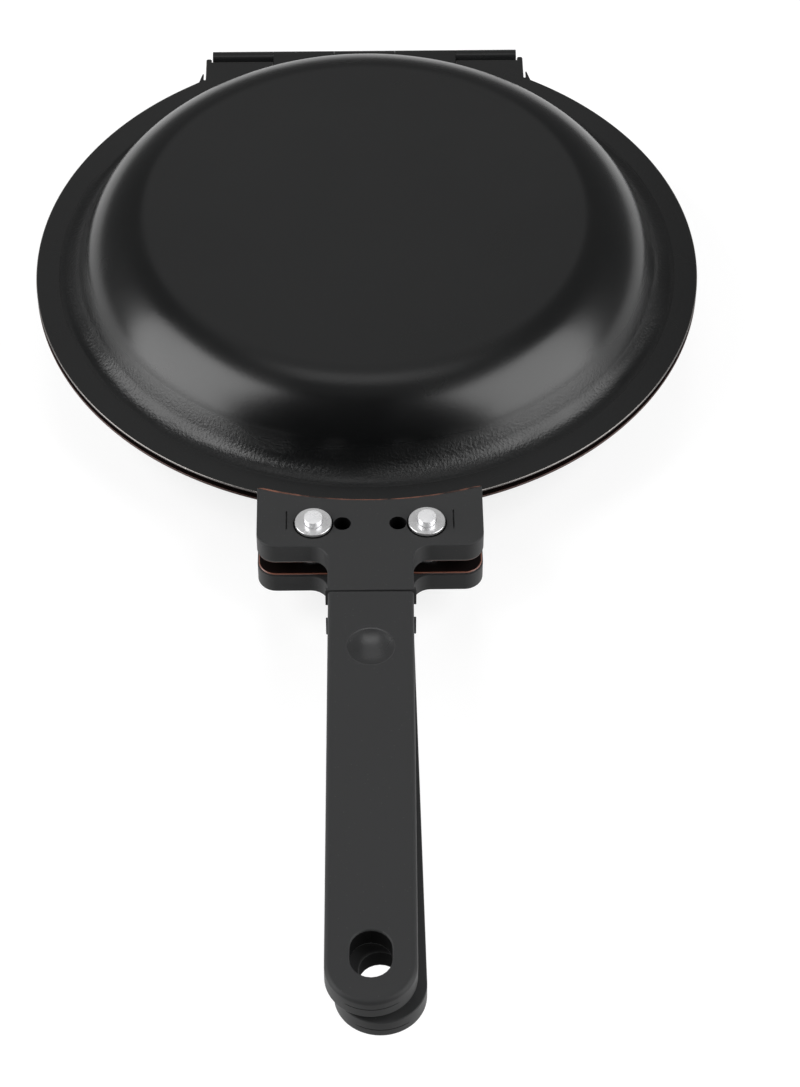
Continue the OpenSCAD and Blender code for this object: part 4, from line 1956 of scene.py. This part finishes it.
@dataclass
class Fastenings:
    """The two rivets of one head and the washers under their free ends."""

    half: Half
    finishes: Finishes
    sizes: HandleSizes = HANDLE
    count: int = 2
    free_edge: float = 0.14
    head_edge: float = 0.15
    head_round: float = 0.35
    washer_edge: float = 0.22
    washer_low_edge: float = 0.15
    bore_edge: float = 0.15
    bore_low_edge: float = 0.1

    def _rivet(self) -> Shell:
        """Builds one rivet: its flat head inside, its shank, and its free end outside.

        Returns:
            Its closed surface, with finish 1, the darker painted-shade metal, on the flat head.
        """
        s = self.sizes
        low = s.head_from - PAN.sheet - s.rivet_head_t
        neck = low + s.rivet_head_t
        top = s.head_top + s.washer_t + s.rivet_stand
        profile = [
            (0, top, 0),
            (s.rivet_r, top, self.free_edge),
            (s.rivet_r, neck, 0),
            (s.rivet_head_r, neck, self.head_edge),
            (s.rivet_head_r, low, self.head_round),
            (0, low, 0),
        ]
        shell = turned(soften(profile), steps=64)
        is_low = [z < neck + SAME_POINT for _, _, z in shell.points]
        shell.finishes = [int(all(is_low[n] for n in face)) for face in shell.faces]
        return shell

    def _washer(self) -> Shell:
        """Builds one washer with rounded rims and a softened bore.

        Returns:
            Its closed surface.
        """
        s = self.sizes
        low, top = s.head_top, s.head_top + s.washer_t
        profile = [
            (s.rivet_hole_r, top, self.bore_edge),
            (s.washer_r, top, self.washer_edge),
            (s.washer_r, low, self.washer_low_edge),
            (s.rivet_hole_r, low, self.bore_low_edge),
        ]
        return turned(soften(profile), steps=72)

    def build(self) -> None:
        """Builds the row of rivets and the row of washers."""
        s, half = self.sizes, self.half
        start = (-s.rivet_spacing / 2, s.rivet_y, PAN.half_height)
        step = (s.rivet_spacing, 0, 0)
        mirrored = half is Half.LOWER
        # The rivets' inner finish is the darker painted-shade metal of their flat heads.
        rivet, rivet_inside_shaded, washer = self.finishes.of(RIVET_ALUMINIUM, RIVET_INNER_HEAD_SHADED, WASHER_PLATING)
        rivets = PieceRow(f"{half.value}_rivets_turned", self.count, start, step, rivet, rivet_inside_shaded)
        attach(rivets.build(self._rivet(), mirrored), half, "rivets", f"{half.value}_rivets")
        washers = PieceRow(f"{half.value}_washers_turned", self.count, start, step, washer, washer)
        attach(washers.build(self._washer(), mirrored), half, "washers", f"{half.value}_rivet_washers")


@dataclass
class Grip:
    """One moulded grip with its dimple, hanging hole and hollow inner face."""

    half: Half
    finishes: Finishes
    sizes: HandleSizes = HANDLE
    low_edge_r: float = 0.3
    joint_crispness: float = 0.12
    edge_steps: int = 7
    hang_edge: float = 0.5
    hang_flat: float = 0.001
    tang_seat_edge: float = 0.1
    hollow_edge: float = 0.2
    stem_wall: float = 0.4

    def _outline(self) -> np.ndarray:
        """The grip's outline in its own frame.

        Returns:
            The loop.
        """
        s = self.sizes
        r = s.grip_w / 2
        points = arc((0, r - s.grip_len), r, 180, 360, 4)
        return tidy_loop(points + [(r, -s.joint_gap), (-r, -s.joint_gap)])

    def _hollow(self, start: float, end: float) -> Opening:
        """A hollow of the inner face.

        Args:
            start: Its near end's distance from the joint.
            end: Its far end's distance from the joint.

        Returns:
            The opening.
        """
        s = self.sizes
        loop = rounded_box(0, -(start + end) / 2, s.hollow_w, end - start, s.hollow_corner_r)
        return Opening(loop, FaceSide.BOTTOM, s.hollow_depth, self.hollow_edge)

    def _openings(self) -> list[Opening]:
        """The hanging hole, the dimple, and the seats and hollows of the inner face; the hanging hole's wall
        gets finish 2, near-black painted shade.

        Returns:
            The openings.
        """
        s = self.sizes
        hang_y = -(s.grip_len - s.joint_gap - s.hang_from_end - s.hang_len / 2)
        hang = rounded_box(0, hang_y, s.hang_w, s.hang_len, s.hang_w / 2 - self.hang_flat)
        dimple = circle(0, -s.dimple_from_joint, s.dimple_d / 2, steps=72)
        stem_w = s.tang_w + 2 * s.seat_play
        stem_start, stem_end = -s.joint_gap - self.stem_wall, -s.tang_reach - s.seat_play
        stem_y = (stem_start + stem_end) / 2
        stem = rounded_box(0, stem_y, stem_w, stem_start - stem_end, s.tang_corner_r)
        cup = circle(0, -s.magnet_from_joint, s.cup_seat_r, steps=56)
        made = [
            # Finish 2 paints the hanging hole's wall near-black: painted shade.
            Opening(hang, FaceSide.THROUGH, s.grip_t, self.hang_edge, finish=2),
            Opening(dimple, FaceSide.TOP, s.dimple_depth, 0.0, finish=1, is_dimple=True),
            Opening(stem, FaceSide.BOTTOM, s.seat_depth, self.tang_seat_edge),
            Opening(cup, FaceSide.BOTTOM, s.cup_seat, self.hollow_edge),
        ]
        length = (s.hollow_to - s.hollow_from - (s.hollow_count - 1) * s.rib_t) / s.hollow_count
        for i in range(s.hollow_count):
            start = s.hollow_from + i * (length + s.rib_t)
            made.append(self._hollow(start, start + length))
        made.append(self._hollow(s.end_hollow_from, s.end_hollow_to))
        return made

    def build(self) -> None:
        """Builds the grip."""
        s, half = self.sizes, self.half
        loop = self._outline()
        crisp = crisp_joint(loop, -s.joint_gap, self.joint_crispness)
        is_end = (np.abs(loop[:, 0]) < s.groove_w / 2) & (loop[:, 1] < s.grip_w / 2 - s.grip_len)
        groove = Groove(s.grip_t / 2, s.groove_h, s.groove_depth, is_end.astype(float))
        plate = Plate(
            loop,
            0.0,
            s.grip_t,
            s.grip_edge_r,
            self.low_edge_r,
            self._openings(),
            crisp,
            self.edge_steps,
            groove,
        )
        name = f"{half.value}_grip"
        finishes = self.finishes.of(GRIP_MOULDING, DIMPLE_MOULDING, PAINTED_SHADE_MOULDING)
        grip = plate.shell().to_object(f"{name}_moulding", on_grip(half), finishes)
        attach(grip, half, "grip", name)


@dataclass
class CarriedPieces:
    """The CAD pieces whose shape is shown as it is, each with its own finish."""

    finishes: Finishes
    by_kind: ClassVar[dict[str, MetalFinish]] = {
        "tang": TANG_STEEL,
        "grip_insert": INSERT_BRASS,
        "grip_screw": SCREW_PLATING,
        "magnet_cup": CUP_PLATING,
        "magnet": MAGNET_PLATING,
    }

    def build(self) -> None:
        """Gives each carried piece its finish."""
        for half in Half:
            for kind, plan in self.by_kind.items():
                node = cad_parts[f"{half.value}_{kind}"]
                for slot in node.material_slots:
                    slot.material = self.finishes.of(plan)[0]
                log.info("%s: carried over with %s", node.name, plan.name)


# ---- studio ----


@dataclass(frozen=True)
class Softbox:
    """One soft lamp: where it hangs as seen from the pan, its size, its strength and its lean."""

    name: str
    azimuth: float
    elevation: float
    distance: float
    width: float
    height: float
    radiance: float
    lean: float = 0.0

    def build(self, target: Vector) -> None:
        """Hangs the lamp so that it faces the target, its top leaning to one side.

        Args:
            target: What the lamp faces.
        """
        a, e = math.radians(self.azimuth), math.radians(self.elevation)
        away = Vector((math.sin(a) * math.cos(e), -math.cos(a) * math.cos(e), math.sin(e)))
        lamp = bpy.data.lights.new(self.name, "AREA")
        lamp.shape = "RECTANGLE"
        lamp.size, lamp.size_y = self.width, self.height
        lamp.energy = self.radiance * math.pi * self.width * self.height
        holder = link(self.name, lamp)
        holder.rotation_mode = "QUATERNION"
        holder.location = target + away * self.distance
        turn = Quaternion((0, 0, 1), math.radians(self.lean))
        holder.rotation_quaternion = away.to_track_quat("Z", "Y") @ turn
        holder.visible_camera = False


@dataclass(frozen=True)
class Cloth:
    """A cloth bowed round the stage, which the coats mirror and the camera doesn't see."""

    name: str
    radius: float
    azimuth: float
    half_azimuth: float
    elevation: float
    columns: int
    rows: int
    material: str
    grey: float
    glow: float = 0.0

    def build(self) -> None:
        """Hangs the cloth."""
        points = []
        for e in np.radians(np.linspace(0, self.elevation, self.rows + 1)):
            for share in np.linspace(-1, 1, self.columns + 1):
                a = math.radians(self.azimuth + self.half_azimuth * share)
                away = self.radius * math.cos(e)
                points.append((away * math.sin(a), -away * math.cos(a), self.radius * math.sin(e)))
        row = self.columns + 1
        corners = [i * row + j for i in range(self.rows) for j in range(self.columns)]
        mesh = bpy.data.meshes.new(self.name)
        mesh.from_pydata(points, [], [(n, n + 1, n + row + 1, n + row) for n in corners])
        cloth = MaterialDraft.begin(
            self.material,
            Base_Color=rgb(self.grey, self.grey, self.grey),
            Roughness=1.0,
            Specular_IOR_Level=0.0,
            Emission_Color=rgb(1, 1, 1),
            Emission_Strength=self.glow,
        )
        mesh.materials.append(cloth.material)
        hung = link(self.name, mesh)
        hung.visible_camera = False


@dataclass
class Studio:
    """Camera, floor, lamps, cloths and world. The camera's place is in millimetres."""

    camera_at: Point3 = (-1.8, -684.2, 664.5)
    camera_target: Point3 = (7.911, -109.092, 23.5)
    roll_deg: float = 0.1508
    lens: float = 107.352
    sensor: float = 36.0
    clip: tuple[float, float] = (0.01, 100.0)
    floor_half: float = 30.0
    floor_grey: float = 0.28
    floor_glow: float = 0.75
    floor_roughness: float = 0.3
    floor_shine: float = 0.5
    world_seen: float = 0.8
    world_dim: float = 0.2
    lamps_face: Point3 = (0.0, 0.0, 0.03)
    lamps: tuple[Softbox, ...] = (
        Softbox("left_softbox", -75.0, 28.0, 0.9, 0.76, 1.05, 5.2, 10.0),
        Softbox("right_softbox", 67.0, 29.0, 0.9, 0.80, 1.05, 4.5, -6.0),
        Softbox("rear_softbox", -177.0, 52.0, 1.1, 0.5, 0.9, 0.34),
        Softbox("top_softbox", 180.0, 80.0, 1.1, 0.5, 0.3, 1.2),
    )
    cloths: tuple[Cloth, ...] = (
        Cloth("front_flag", 0.95, -5.0, 43.0, 70.0, 24, 12, "black_cloth", 0.012),
        Cloth("tent", 2.4, 0.0, 180.0, 90.0, 48, 14, "grey_cloth", 0.02, 0.2),
    )

    def _camera(self) -> None:
        """Places the camera at the photograph's angle."""
        at, target = Vector(self.camera_at) * MM, Vector(self.camera_target) * MM
        forward = (target - at).normalized()
        right = forward.cross(Vector((0, 0, 1))).normalized()
        up = right.cross(forward)
        c, s = math.cos(math.radians(self.roll_deg)), math.sin(math.radians(self.roll_deg))
        across, upright = right * c + up * s, up * c - right * s
        camera = bpy.data.cameras.new("camera")
        camera.sensor_width = self.sensor
        camera.sensor_fit = "AUTO"
        camera.lens = self.lens
        camera.clip_start, camera.clip_end = self.clip
        holder = link("camera", camera)
        turn = Matrix((across, upright, -forward)).transposed().to_4x4()
        holder.matrix_world = Matrix.Translation(at) @ turn
        bpy.context.scene.camera = holder

    def _seen(self, graph: Graph) -> bpy.types.NodeSocket:
        """Adds 1 for rays of the camera, of mirrors and of glass, and 0 for the others.

        Args:
            graph: The tree of the floor or the world.

        Returns:
            The mask.
        """
        rays = graph.node("ShaderNodeLightPath").outputs
        seen = graph.math("ADD", rays["Is Camera Ray"], rays["Is Glossy Ray"])
        return graph.math("ADD", seen, rays["Is Transmission Ray"], clamp=True)

    def _floor(self) -> None:
        """Lays the pale floor, whose colour is seen as white and keeps the shadow."""
        e, grey = self.floor_half, self.floor_grey
        mesh = bpy.data.meshes.new("floor")
        mesh.from_pydata([(-e, -e, 0), (e, -e, 0), (e, e, 0), (-e, e, 0)], [], [(0, 1, 2, 3)])
        link("floor", mesh)
        draft = MaterialDraft.begin(
            "pale_floor",
            Base_Color=rgb(grey, grey, grey),
            Roughness=self.floor_roughness,
            Specular_IOR_Level=self.floor_shine,
            Emission_Color=rgb(1, 1, 1),
        )
        draft.dress(Emission_Strength=draft.math("MULTIPLY", self._seen(draft), self.floor_glow))
        mesh.materials.append(draft.material)

    def _world(self) -> None:
        """Sets an even world, pale where it is seen and dim as a light."""
        world = bpy.data.worlds.new("studio")
        world.use_nodes = True
        graph = Graph(world.node_tree)
        backdrop = graph.tree.nodes["Background"].inputs
        backdrop["Color"].default_value = rgb(1, 1, 1)
        more = graph.math("MULTIPLY", self._seen(graph), self.world_seen - self.world_dim)
        graph.feed(backdrop["Strength"], graph.math("ADD", more, self.world_dim))
        bpy.context.scene.world = world

    def build(self) -> None:
        """Builds the whole studio."""
        self._camera()
        self._floor()
        self._world()
        for cloth in self.cloths:
            cloth.build()
        for lamp in self.lamps:
            lamp.build(Vector(self.lamps_face))
        bpy.context.scene.view_settings.view_transform = "Standard"
        log.info("studio: %d lamps, %d cloths", len(self.lamps), len(self.cloths))


def main() -> None:
    """Builds every piece in order."""
    logging.basicConfig(level=logging.INFO, format="%(name)s: %(message)s")
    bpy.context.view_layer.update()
    finishes = Finishes()
    for half in Half:
        Pan(half, finishes).build()
        HandleHead(half, finishes).build()
        Fastenings(half, finishes).build()
        Grip(half, finishes).build()
    HingePin(finishes).build()
    CarriedPieces(finishes).build()
    Studio().build()


if __name__ == "__main__":
    main()
